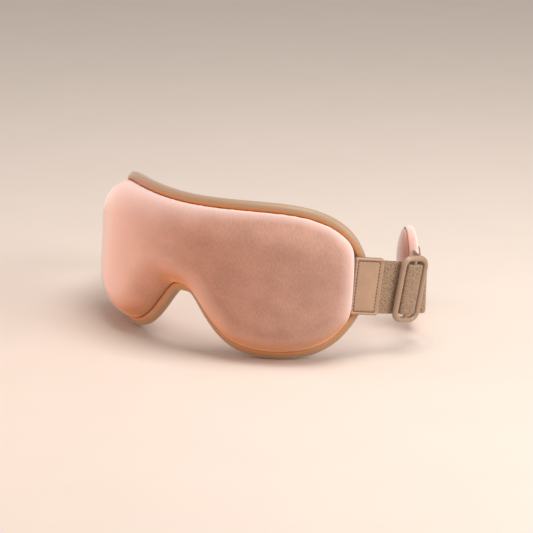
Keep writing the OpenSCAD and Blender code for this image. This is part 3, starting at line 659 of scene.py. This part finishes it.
def woven_elastic(name, dark, light):
    """Covered-rubber elastic, woven from melange yarn: ribs in a broken twill with light flecks."""
    material, tree, shader = new_material(
        name, {"Roughness": 0.85, "Specular IOR Level": 0.25, "Sheen Weight": 0.25, "Sheen Roughness": 0.5}
    )
    # Twill floats about 0.5 mm wide and 1 mm long, in two directions.
    floats = add_node(
        tree,
        "ShaderNodeTexNoise",
        {"Scale": 1.0, "Detail": 1.5, "Roughness": 0.6},
        Vector=scaled_coordinates(tree, "UV", (2.1, 1.0, 1.0), 0.62),
    )
    crossing = add_node(
        tree,
        "ShaderNodeTexVoronoi",
        {"Scale": 1.0},
        Vector=scaled_coordinates(tree, "UV", (1.8, 1.1, 1.0), -0.5),
    )
    relief = add_node(tree, "ShaderNodeMath", {"operation": "SUBTRACT"})
    tree.links.new(floats.outputs["Fac"], relief.inputs[0])
    fade = add_node(tree, "ShaderNodeMath", {"operation": "MULTIPLY"})
    tree.links.new(crossing.outputs["Distance"], fade.inputs[0])
    fade.inputs[1].default_value = 0.35
    tree.links.new(fade.outputs[0], relief.inputs[1])
    tone = mixed(tree, relief.outputs[0], dark, light, 0.16, 0.48)
    tree.links.new(tone, shader.inputs["Base Color"])
    bump = add_node(tree, "ShaderNodeBump", {"Strength": 0.75, "Distance": 0.0004}, Height=relief.outputs[0])
    tree.links.new(bump.outputs["Normal"], shader.inputs["Normal"])
    return material


def thread_material(name, base):
    """Bonded polyester thread, twisted: small, slightly shiny beads of colour."""
    material, tree, shader = new_material(name, {"Roughness": 0.55, "Sheen Weight": 0.2})
    twist = add_node(
        tree,
        "ShaderNodeTexNoise",
        {"Scale": 1 / 0.4},
        Vector=scaled_coordinates(tree, "Object"),
    )
    tone = mixed(tree, twist.outputs["Fac"], darker(base, 0.85), darker(base, 1.1))
    tree.links.new(tone, shader.inputs["Base Color"])
    return material


def moulded_plastic(name, base, roughness, coat=0.0):
    """Injection-moulded plastic: an even colour with a faint spark-eroded skin."""
    material, tree, shader = new_material(
        name,
        {"Roughness": roughness, "IOR": 1.5, "Coat Weight": coat, "Coat Roughness": 0.12},
    )
    skin = add_node(
        tree, "ShaderNodeTexNoise", {"Scale": 1 / 0.5, "Detail": 2.0}, Vector=scaled_coordinates(tree, "Object")
    )
    tone = mixed(tree, skin.outputs["Fac"], darker(base, 0.97), darker(base, 1.03))
    tree.links.new(tone, shader.inputs["Base Color"])
    bump = add_node(tree, "ShaderNodeBump", {"Strength": 0.06, "Distance": 0.0001}, Height=skin.outputs["Fac"])
    tree.links.new(bump.outputs["Normal"], shader.inputs["Normal"])
    return material


def foam_material(name, base):
    """Open-cell polyurethane foam, cut from a block: matt, with pores about 1 mm across."""
    material, tree, shader = new_material(name, {"Roughness": 0.95, "Specular IOR Level": 0.1})
    pores = add_node(tree, "ShaderNodeTexVoronoi", {"Scale": 1.0}, Vector=scaled_coordinates(tree, "Object"))
    tone = mixed(tree, pores.outputs["Distance"], darker(base, 0.8), base, 0.05, 0.4)
    tree.links.new(tone, shader.inputs["Base Color"])
    bump = add_node(tree, "ShaderNodeBump", {"Strength": 0.5, "Distance": 0.0004}, Height=pores.outputs["Distance"])
    tree.links.new(bump.outputs["Normal"], shader.inputs["Normal"])
    return material


def plated_steel(name, base):
    """Nickel-plated steel strip, drawn: bright metal with fine lines along it."""
    material, tree, shader = new_material(name, {"Metallic": 1.0, "Roughness": 0.32})
    lines = add_node(
        tree,
        "ShaderNodeTexNoise",
        {"Scale": 1.0, "Detail": 2.0},
        Vector=scaled_coordinates(tree, "Object", (0.3, 0.3, 6.0)),
    )
    tone = mixed(tree, lines.outputs["Fac"], darker(base, 0.9), base)
    tree.links.new(tone, shader.inputs["Base Color"])
    bump = add_node(tree, "ShaderNodeBump", {"Strength": 0.08, "Distance": 0.0001}, Height=lines.outputs["Fac"])
    tree.links.new(bump.outputs["Normal"], shader.inputs["Normal"])
    return material


# ---------------------------------------------------------------- pieces


class MASK_OT_front(Operator):
    """Model the crowned velvet front, drawn down to its seam all round"""

    bl_idname = "mask.front"
    bl_label = "Velvet front"

    TAB_Z = 47.8  # height of the tabs' middle, in millimetres
    PUCKER_SPACING = 4.0  # distance between the seam's puckers, in millimetres
    UNEVEN_WIDTH = 30  # width of the padding's uneven patches, in millimetres

    def execute(self, context):
        s, c = context.scene.mask_sizes, context.scene.mask_colours
        surface = MaskSurface(s)
        rows = surface.cross_lines(surface.inset, s.columns, s.across, True)
        rim, run = surface.closed_rim(surface.inset, 900, True)
        flat = rows.reshape(-1, 2)
        distance = np.empty(len(flat))
        nearest = np.empty(len(flat))
        out = np.empty(flat.shape)
        ahead = np.roll(rim, -1, axis=0) - np.roll(rim, 1, axis=0)
        normal = np.stack([ahead[:, 1], -ahead[:, 0]], axis=-1) / np.linalg.norm(ahead, axis=1, keepdims=True)
        for i in range(0, len(flat), 2000):
            apart = np.linalg.norm(flat[i : i + 2000, None, :] - rim[None, :, :], axis=2)
            distance[i : i + 2000] = apart.min(axis=1)
            nearest[i : i + 2000] = run[apart.argmin(axis=1)]
            out[i : i + 2000] = normal[apart.argmin(axis=1)]
        distance = distance.reshape(rows.shape[:2])
        edge = np.zeros(rows.shape[:2], bool)
        edge[[0, -1], :] = True
        edge[:, [0, -1]] = True
        distance[edge] = 0
        height = surface.rise(distance, s.crown_h, s.crown_edge)
        # The seam draws the cover into small puckers, 4 mm apart, that fade within a few millimetres.
        pucker = 0.5 + 0.5 * np.sin(2 * np.pi * nearest.reshape(distance.shape) / self.PUCKER_SPACING)
        share = np.clip(height / s.crown_h, 0, 1)
        height = height - 0.08 * pucker * np.exp(-(((distance - 1.0) / 1.1) ** 2))
        # The padding is a little uneven, over about 30 mm.
        patches = [noise.noise((p[0] / self.UNEVEN_WIDTH, p[1] / self.UNEVEN_WIDTH, 0.0)) for p in flat]
        uneven = np.array(patches).reshape(distance.shape)
        height = height + 0.5 * uneven * np.minimum(distance / 12, 1)
        # Its side bulges out over the seam, most at a third of the height, but stops short of the tabs.
        bulge = s.overhang * np.sin(np.pi * np.clip(share / 0.35, 0, 1) / 2) * (1 - share**2.5)
        spread = rows + bulge[..., None] * out.reshape(rows.shape)
        beyond = np.clip((np.abs(rows[..., 1] - self.TAB_Z) - s.tab_w / 2 - 0.5) / 6, 0, 1)
        limit = surface.tab_s - 0.2 + 3 * beyond**2 * (3 - 2 * beyond)
        spread[..., 0] = np.clip(spread[..., 0], -limit, limit)
        top = surface.place(spread[..., 0], spread[..., 1], s.gap + height)
        under = surface.place(rows[..., 0], rows[..., 1], s.gap + np.maximum(height - s.cover_t, 0) * 0.97)
        piece = slab("velvet_front", top, under, rows, sharp=75)
        # The velvet front gets a painted sheen and a painted warm glow underneath.
        pile = velvet("Sheared velvet", c.velvet, c.velvet_sheen, c.velvet_painted_glow)
        seat(piece, "mask", pile, ["front_cover"])
        return {"FINISHED"}


class MASK_OT_piping(Operator):
    """Model the satin piping, its flange and the edge seam's stitches"""

    bl_idname = "mask.piping"
    bl_label = "Piping"

    def execute(self, context):
        s, c = context.scene.mask_sizes, context.scene.mask_colours
        surface = MaskSurface(s)
        count, sides = 640, 24
        line, run = surface.closed_rim(0, count)
        centre = surface.place(line[:, 0], line[:, 1], 0)
        ahead = np.roll(centre, -1, axis=0) - np.roll(centre, 1, axis=0)
        ahead /= np.linalg.norm(ahead, axis=1, keepdims=True)
        out = surface.place(line[:, 0], line[:, 1], 1) - centre
        out /= np.linalg.norm(out, axis=1, keepdims=True)
        side = np.cross(ahead, out)
        turn = 2 * np.pi * np.arange(sides + 1) / sides
        # The tape creases a little where it is pulled round the outline.
        crease = np.array([[noise.noise((r / 6, math.cos(t), math.sin(t))) for t in turn] for r in run])
        radius = (s.pipe_r - 0.05 + 0.05 * crease) * MM
        uvs = np.stack(np.broadcast_arrays(run[:, None], turn[None, :] * s.pipe_r), axis=-1).reshape(-1, 2)
        material = satin("Satin tape", c.satin, c.satin_painted_glow)
        piping = tube("satin_piping", centre, out, side, radius, uvs, sides=sides)
        seat(piping, "mask", material, ["edge_piping"])

        outer, length = surface.closed_rim(s.pipe_r - 0.6, count)
        inner, _ = surface.closed_rim(surface.inset + 1.0, count)
        top = np.stack([surface.place(r[:, 0], r[:, 1], 0.25) for r in (outer, inner)], axis=1)
        low = np.stack([surface.place(r[:, 0], r[:, 1], 0.05) for r in (outer, inner)], axis=1)
        ring = np.concatenate([top, low[:, ::-1]], axis=1).reshape(-1, 3)
        wide = np.tile(np.array([0.0, 2.0, 2.0, 0.0]), count)
        flange = make_piece(
            "piping_flange",
            ring,
            grid_faces(count, 4, close_rows=True, close_cols=True),
            np.stack([np.repeat(length, 4), wide], axis=-1),
        )
        seat(flange, "mask", material)

        # The overlock's loops show on the piping where the crown rests against it, 1.6 mm apart.
        stitch_count = int(run[-1] / 1.6)
        beside = 1.5
        proud = math.sqrt(s.pipe_r**2 - beside**2)
        seam, _ = surface.closed_rim(beside, stitch_count)
        at = surface.place(seam[:, 0], seam[:, 1], proud)
        ahead = np.roll(at, -1, axis=0) - np.roll(at, 1, axis=0)
        out = surface.place(seam[:, 0], seam[:, 1], proud + 1) - at
        thread = stitches("edge_stitches", at, ahead, out, 0.9 * MM, 0.7 * MM, 0.2 * MM)
        # The seam thread's orange colour is a painted glow.
        seat(thread, "mask", thread_material("Seam thread", c.seam_thread_glow))
        return {"FINISHED"}


class MASK_OT_back(Operator):
    """Model the brushed lining and the padded eye cushions of the face side"""

    bl_idname = "mask.back"
    bl_label = "Face side"

    def execute(self, context):
        s, c = context.scene.mask_sizes, context.scene.mask_colours
        surface = MaskSurface(s)
        knit = brushed_knit("Brushed knit", c.lining, c.velvet_sheen)
        rows = surface.cross_lines(surface.inset, 72, 28, False)
        low = surface.lining_top - s.lining_t
        face = surface.place(rows[..., 0], rows[..., 1], low)
        back = surface.place(rows[..., 0], rows[..., 1], surface.lining_top)
        lining = slab("knit_lining", face, back, rows)
        seat(lining, "mask", knit, ["back_lining"])
        cut, _ = surface.closed_rim(surface.inset, 900, False)
        for side, word in ((-1, "left"), (1, "right")):
            self.cushion(surface, s, knit, side, word)
        return {"FINISHED"}

    def cushion(self, surface, s, knit, side, word):
        """One eye cushion: domed, with a sewn rim that dips before the pad rises."""
        count = 96
        rings = []
        # Share of the outline and depth, from the middle of the flat back, round the rim, to the crown.
        profile = [(0.02, 0.0), (0.4, 0.0), (0.8, 0.0), (0.95, 0.0), (0.99, 0.25), (1.0, 0.7), (0.985, 1.1)]
        profile += [(0.955, 1.2), (0.935, 1.9), (0.90, 3.4), (0.84, 5.1), (0.75, 6.9), (0.62, 8.3), (0.46, 9.2)]
        profile += [(0.28, 9.7), (0.12, 9.9), (0.01, 10.0)]
        for share, depth in profile:
            ring = super_ellipse(s.cushion_a, s.cushion_b, count, 2.3) * share
            depth = depth * s.cushion_h / 10
            rings.append(
                surface.place(side * s.eye_s + ring[:, 0], s.eye_z + ring[:, 1], surface.cushion_base - depth)
            )
        points = np.concatenate(rings)
        faces = grid_faces(len(rings), count, close_cols=True)
        faces += [tuple(range(count)), tuple(range(len(points) - count, len(points)))]
        piece = make_piece(f"eye_pad_{word}", points, faces)
        puff(piece, 0.003, 4.0, 0.0012)
        seat(piece, "mask", knit, [f"eye_cushion_{word}"])


class MASK_OT_tabs(Operator):
    """Model the stitched leather leaves of both side tabs"""

    bl_idname = "mask.tabs"
    bl_label = "Side tabs"

    def execute(self, context):
        s, c = context.scene.mask_sizes, context.scene.mask_colours
        surface = MaskSurface(s)
        leather = coated_leather("Coated leather", c.leather)
        thread = thread_material("Tab thread", c.thread)
        for frames, word in ((surface.right, "right"), (surface.left, "left")):
            facing = 1 if word == "right" else -1
            self.leaf(surface, s, frames, word, facing, leather, "front")
            self.leaf(surface, s, frames, word, facing, leather, "back")
            self.stitching(surface, s, frames, word, facing, thread)
        return {"FINISHED"}

    def point(self, surface, frames, facing, l, v, offset):
        f = surface.frame_at(frames, l)
        return f[0] + facing * outward(f) * offset * MM + f[2] * v * MM

    def relief(self, s, l, v):
        """Height of the leather over its flat leaf: a rolled edge, a stitch groove and a soft middle."""
        edge = min(l, s.tab_w / 2 - abs(v))
        inner = min(edge, s.tab_len - l)
        lip = 0.5 * math.exp(-(((edge - 0.85) / 0.6) ** 2))
        groove = -0.3 * math.exp(-(((inner - 1.9) / 0.4) ** 2))
        second = -0.28 * math.exp(-(((s.tab_len - l - 2.6) / 0.4) ** 2))
        puffed = 0.22 * min(1, max(0, (inner - 2.4) / 5))
        return lip + min(groove, second) + puffed

    def leaf(self, surface, s, frames, word, facing, leather, name):
        rows, cols = 73, 139
        top, low, uv = [], [], []
        sign = 1 if name == "front" else -1
        for i in range(rows):
            l = s.tab_len * i / (rows - 1)
            for j in range(cols):
                v = s.tab_w * (j / (cols - 1) - 0.5)
                # Corners are rounded by drawing the ends of each row in.
                end = min(l, s.tab_len - l)
                round_in = 1.6 - math.sqrt(max(0, 1.6**2 - max(0, 1.6 - end) ** 2))
                w = v * (1 - 2 * round_in / s.tab_w)
                edge = min(end, s.tab_w / 2 - abs(v))
                thin = 0.3 * max(0, 1 - edge / 0.5) ** 2
                height = self.relief(s, l, v) if name == "front" else 0.0
                top.append(self.point(surface, frames, facing, l, w, sign * (surface.leaf_to + height - thin)))
                low.append(self.point(surface, frames, facing, l, w, sign * surface.leaf_from))
                uv.append((l, v))
        shape = (rows, cols, 3)
        piece = slab(
            f"{word}_tab_{name}_leaf",
            np.array(top).reshape(shape),
            np.array(low).reshape(shape),
            np.array(uv).reshape(rows, cols, 2),
        )
        seat(piece, "mask", leather, [f"{word}_tab_{name}"])

    def stitching(self, surface, s, frames, word, facing, thread):
        """A lockstitch along the tab's border and a second row where the strap is held."""
        corners = [
            (s.tab_len - 2.6, s.tab_w / 2 - 1.9), (1.9, s.tab_w / 2 - 1.9),
            (1.9, 1.9 - s.tab_w / 2), (s.tab_len - 2.6, 1.9 - s.tab_w / 2), (s.tab_len - 2.6, s.tab_w / 2 - 1.9),
        ]
        centres, along, out = [], [], []
        pitch = 2.0
        for (l0, v0), (l1, v1) in zip(corners, corners[1:]):
            length = math.hypot(l1 - l0, v1 - v0)
            count = max(1, round(length / pitch))
            for k in range(count):
                t = (k + 0.5) / count
                l, v = l0 + t * (l1 - l0), v0 + t * (v1 - v0)
                height = surface.leaf_to - 0.02
                centre = self.point(surface, frames, facing, l, v, height)
                step = (0.05 * (l1 - l0) / length, 0.05 * (v1 - v0) / length)
                next_point = self.point(surface, frames, facing, l + step[0], v + step[1], height)
                centres.append(centre)
                along.append(next_point - centre)
                out.append(facing * outward(surface.frame_at(frames, l)))
        piece = stitches(f"{word}_tab_stitches", centres, along, out, 1.35 * MM, 0.62 * MM, 0.3 * MM)
        seat(piece, "mask", thread)


class MASK_OT_strap(Operator):
    """Model the woven strap and its loop in the slider's window"""

    bl_idname = "mask.strap"
    bl_label = "Elastic strap"

    def execute(self, context):
        s, c = context.scene.mask_sizes, context.scene.mask_colours
        surface = MaskSurface(s)
        elastic = woven_elastic("Woven elastic", c.elastic_dark, c.elastic_light)
        frames = surface.strap_frames()
        points = np.array([f[0] for f in frames])
        run = np.concatenate([[0], np.cumsum(np.linalg.norm(np.diff(points, axis=0), axis=1))]) / MM
        out = np.array([outward(f) for f in frames])
        up = np.array([f[2] / np.linalg.norm(f[2]) for f in frames])
        across = np.linspace(-1, 1, 41)
        # Both edges thin down to a selvage and scallop slightly with the weft.
        thick = s.strap_t / 2 * (1 - 0.3 * np.abs(across) ** 10)
        scallop = 1 + 0.004 * np.sin(2 * np.pi * run / 2.1)[:, None] * np.abs(across)[None, :] ** 8
        level = points[:, None, :] + up[:, None, :] * (across * (scallop - 0.004))[..., None] * s.strap_w / 2 * MM
        front = level + out[:, None, :] * thick[None, :, None] * MM
        back = level - out[:, None, :] * thick[None, :, None] * MM
        uv = np.stack(np.broadcast_arrays(run[:, None], across[None, :] * s.strap_w / 2), axis=-1)
        seat(slab("woven_strap", front, back, uv), "mask", elastic, ["elastic_strap"])
        self.loop(surface, s, elastic)
        return {"FINISHED"}

    def loop(self, surface, s, elastic):
        """The folded strap end, bulging through the slider's window."""
        f = surface.frame_at(surface.right, s.slider_at)
        x = f[1] / np.linalg.norm(f[1])
        out = outward(f)
        up = np.cross(out, x)
        middle = f[0] + out * s.slider_out * MM
        count = 72
        ring = super_ellipse(s.loop_len / 2, s.loop_t / 2, count, 2.7)
        around = np.concatenate([[0], np.cumsum(np.linalg.norm(np.diff(ring, axis=0), axis=1))])
        points, uv = [], []
        rows = 48
        for i in range(rows):
            v = (2 * i / (rows - 1) - 1) * s.loop_w / 2
            end = (s.loop_w / 2 - abs(v)) / 0.9
            shrink = 1 - 0.12 * max(0, 1 - end) ** 2
            for (a, b), w in zip(ring, around):
                points.append(middle + (x * a * shrink + out * b * shrink + up * v) * MM)
                uv.append((w, v))
        faces = grid_faces(rows, count, close_cols=True)
        faces += [tuple(range(count)), tuple(range(len(points) - count, len(points)))]
        piece = make_piece("woven_loop", points, faces, uv)
        seat(piece, "slider", elastic, ["strap_loop"])


class MASK_OT_head_pad(Operator):
    """Model the two velvet cushions of the head pad, with the seam between them"""

    bl_idname = "mask.head_pad"
    bl_label = "Head pad"

    def execute(self, context):
        s, c = context.scene.mask_sizes, context.scene.mask_colours
        surface = MaskSurface(s)
        outer_pile = velvet("Head pad velvet", c.pad, c.velvet_sheen, c.pad, "Object")
        # The head side's velvet is a darker copy of the pad's velvet, with painted shade.
        face_pile = velvet("Head pad face velvet", c.pad_face, c.pad, c.pad_face, "Object")
        base = s.strap_t / 2 + s.gap
        inner, outer = s.pad_in_t, s.pad_out_t
        # Each cushion is a closed profile: share of the outline, and distance to the outer side of the strap.
        lens = lambda share: (1 - share**2.3) ** (1 / 2.3)
        seam = base + 1.4
        face = [(q, -seam + 0.2) for q in (0.02, 0.5, 0.86)] + [(0.915, -seam), (0.93, -seam - 0.7)]
        face += [
            (q, -seam - 0.2 - (inner + base - seam) * lens(q / 0.95)) for q in (0.92, 0.88, 0.8, 0.68, 0.5, 0.3, 0.15, 0.02)
        ]
        rim = [(q, -seam + 0.5) for q in (0.02, 0.5, 0.86)] + [(0.925, -seam + 0.3), (0.945, -seam - 0.5)]
        rim += [(0.965, -seam - 0.75), (0.985, -seam - 0.3), (1.0, -0.9), (1.005, 0.2), (1.0, base + 0.2)]
        rim += [(q, base + (outer + 0.8) * lens(q)) for q in (0.98, 0.95, 0.88, 0.78, 0.64, 0.45, 0.25, 0.02)]
        cushions = (
            ("head_pad_face", face, "head_pad_inner", face_pile),
            ("head_pad_rim", rim, "head_pad_outer", outer_pile),
        )
        for name, profile, node, pile in cushions:
            piece = self.cushion(surface, s, name, profile)
            seat(piece, "mask", pile, [node])
        return {"FINISHED"}

    def cushion(self, surface, s, name, profile):
        f = surface.frame_at(surface.right, s.pad_at)
        x = f[1] / np.linalg.norm(f[1])
        out = outward(f)
        up = np.cross(out, x)
        count = 88
        ring = super_ellipse(s.pad_len / 2, s.pad_h / 2, count, 2.2)
        points = []
        for share, depth in profile:
            points += [f[0] + (x * a * share + up * b * share + out * depth) * MM for a, b in ring]
        faces = grid_faces(len(profile), count, close_cols=True)
        faces += [tuple(range(count)), tuple(range(len(points) - count, len(points)))]
        piece = make_piece(name, points, faces)
        smooth = piece.modifiers.new("Subdivision", "SUBSURF")
        smooth.levels = 1
        smooth.render_levels = 1
        return piece


class MASK_OT_hardware(Operator):
    """Finish the slider, the control pod and the pieces inside the mask"""

    bl_idname = "mask.hardware"
    bl_label = "Slider, pod and inner pieces"

    def execute(self, context):
        c = context.scene.mask_colours
        gloss = moulded_plastic("Moulded gloss ABS", c.slider, 0.3, 0.35)
        pod = moulded_plastic("Satin ABS", c.pod, 0.45)
        silicone = moulded_plastic("Liquid silicone", colour_from_hex("#c99a86"), 0.6)
        cup = moulded_plastic("Natural nylon", colour_from_hex("#dcdcd8"), 0.5)
        black = moulded_plastic("Black nylon", colour_from_hex("#2c2c2e"), 0.5)
        board = moulded_plastic("Solder mask", colour_from_hex("#2b6e48"), 0.35, 0.3)
        film = moulded_plastic("Polyimide film", colour_from_hex("#c8742c"), 0.3)
        wire = moulded_plastic("Wire insulation", colour_from_hex("#b03a2e"), 0.45)
        pouch = moulded_plastic("Laminated pouch", colour_from_hex("#a8adb2"), 0.35)
        light = moulded_plastic("Light pipe", colour_from_hex("#f2d3a6"), 0.2, 0.5)
        felt = foam_material("Pressed felt", colour_from_hex("#5b5552"))
        foam = foam_material("Cut foam", colour_from_hex("#efe6d8"))
        steel = plated_steel("Nickel-plated steel", colour_from_hex("#c2c4c6"))
        weight = plated_steel("Sintered tungsten", colour_from_hex("#77746e"))
        finishes = {
            "strap_slider": gloss, "pod_base": pod, "pod_cover": pod, "power_button": silicone,
            "port_flap": silicone, "control_board": board, "button_switch": black, "usb_socket": steel,
            "status_light": light, "front_foam": foam, "carrier_sheet": felt, "battery": pouch, "wiring_loom": wire,
        }
        for word in ("left", "right"):
            finishes[f"heating_film_{word}"] = film
            finishes[f"motor_cup_{word}"] = cup
            finishes[f"motor_lid_{word}"] = cup
            finishes[f"motor_can_{word}"] = steel
            finishes[f"motor_shaft_{word}"] = steel
            finishes[f"motor_weight_{word}"] = weight
        for name, material in finishes.items():
            node = frame["nodes"][name]
            for slot in node.material_slots:
                slot.material = material
        return {"FINISHED"}


# ---------------------------------------------------------------- stage


class MASK_OT_stage(Operator):
    """Set the floor, the lights and the camera"""

    bl_idname = "mask.stage"
    bl_label = "Stage"

    AZIMUTH = math.radians(41.4)
    ELEVATION = math.radians(16.4)
    DISTANCE = 1.44
    FRAME_WIDTH = 0.3258  # width of the view at the distance, in metres

    def execute(self, context):
        c = context.scene.mask_colours
        self.floor(c)
        self.lights(context)
        self.camera(context)
        return {"FINISHED"}

    def floor(self, c):
        points = [(-6, -6, 0), (6, -6, 0), (6, 6, 0), (-6, 6, 0)]
        floor = make_piece("floor", points, [(0, 1, 2, 3)])
        material, tree, shader = new_material("Matt paper floor", {"Roughness": 0.9, "Specular IOR Level": 0.2})
        mottle = add_node(
            tree, "ShaderNodeTexNoise", {"Scale": 1 / 60, "Detail": 2.0}, Vector=scaled_coordinates(tree, "Object")
        )
        tone = mixed(tree, mottle.outputs["Fac"], darker(c.floor, 0.985), c.floor)
        tree.links.new(tone, shader.inputs["Base Color"])
        floor.data.materials.append(material)

    def lights(self, context):
        world = bpy.data.worlds.new("Soft room")
        world.use_nodes = True
        sky = world.node_tree.nodes["Background"]
        sky.inputs["Color"].default_value = colour_from_hex("#fffaf6")
        sky.inputs["Strength"].default_value = 0.47
        context.scene.world = world
        context.scene.view_settings.view_transform = "Standard"
        # Name, place, aim, width, power, colour: an overhead key, one light to each side and a low warm one.
        lamps = [
            ("key", (0.25, 0.0, 1.0), (0, 0, 0.03), 0.6, 7.3, "#fffaf5"),
            ("side_left", (-0.95, -0.45, 0.50), (-0.05, -0.02, 0.05), 0.5, 1.2, "#fffaf6"),
            ("side_right", (0.95, 0.20, 0.45), (0.08, 0, 0.05), 0.5, 5.2, "#fffaf6"),
            ("warm_low", (-0.22, -0.50, 0.04), (0.0, -0.06, 0.02), 0.15, 0.9, "#ff9c40"),
        ]
        for name, place, aim, width, power, code in lamps:
            data = bpy.data.lights.new(name, "AREA")
            data.size = width
            data.energy = power
            data.color = colour_from_hex(code)[:3]
            lamp = bpy.data.objects.new(name, data)
            lamp.location = place
            lamp.rotation_euler = (Vector(aim) - Vector(place)).to_track_quat("-Z", "Y").to_euler()
            context.scene.collection.objects.link(lamp)

    def camera(self, context):
        s = context.scene.mask_sizes
        surface = MaskSurface(s)
        # The camera looks at a point 30 mm behind the middle of the carrier and 45 mm up, seen left of centre.
        target = Vector(tuple(surface.origin)) + Vector((0, 0.030, 0.045))
        across = Vector((math.cos(self.AZIMUTH), math.sin(self.AZIMUTH), 0))
        back = Vector(
            (
                math.sin(self.AZIMUTH) * math.cos(self.ELEVATION),
                -math.cos(self.AZIMUTH) * math.cos(self.ELEVATION),
                math.sin(self.ELEVATION),
            )
        )
        up = back.cross(across)
        aim = target + across * 0.0311 - up * 0.0034
        place = target + back * self.DISTANCE
        data = bpy.data.cameras.new("camera")
        data.sensor_width = 36.0
        data.lens = 36.0 * self.DISTANCE / self.FRAME_WIDTH
        data.clip_start = 0.05
        camera = bpy.data.objects.new("camera", data)
        camera.location = place
        camera.rotation_euler = (aim - place).to_track_quat("-Z", "Y").to_euler()
        context.scene.collection.objects.link(camera)
        context.scene.camera = camera


STEPS = ("stage", "front", "piping", "back", "tabs", "strap", "head_pad", "hardware")


class MASK_PT_panel(Panel):
    """Lists the steps that build the mask"""

    bl_label = "Eye massager mask"
    bl_idname = "MASK_PT_panel"
    bl_space_type = "VIEW_3D"
    bl_region_type = "UI"
    bl_category = "Mask"

    def draw(self, context):
        for step in STEPS:
            self.layout.operator(f"mask.{step}")


CLASSES = (
    MaskSizes, MaskColours, MASK_OT_stage, MASK_OT_front, MASK_OT_piping, MASK_OT_back, MASK_OT_tabs,
    MASK_OT_strap, MASK_OT_head_pad, MASK_OT_hardware, MASK_PT_panel,
)


def register():
    for item in CLASSES:
        bpy.utils.register_class(item)
    bpy.types.Scene.mask_sizes = PointerProperty(type=MaskSizes)
    bpy.types.Scene.mask_colours = PointerProperty(type=MaskColours)


def unregister():
    del bpy.types.Scene.mask_colours
    del bpy.types.Scene.mask_sizes
    for item in reversed(CLASSES):
        bpy.utils.unregister_class(item)


def main():
    register()
    for step in STEPS:
        getattr(bpy.ops.mask, step)()


if __name__ == "__main__":
    main()
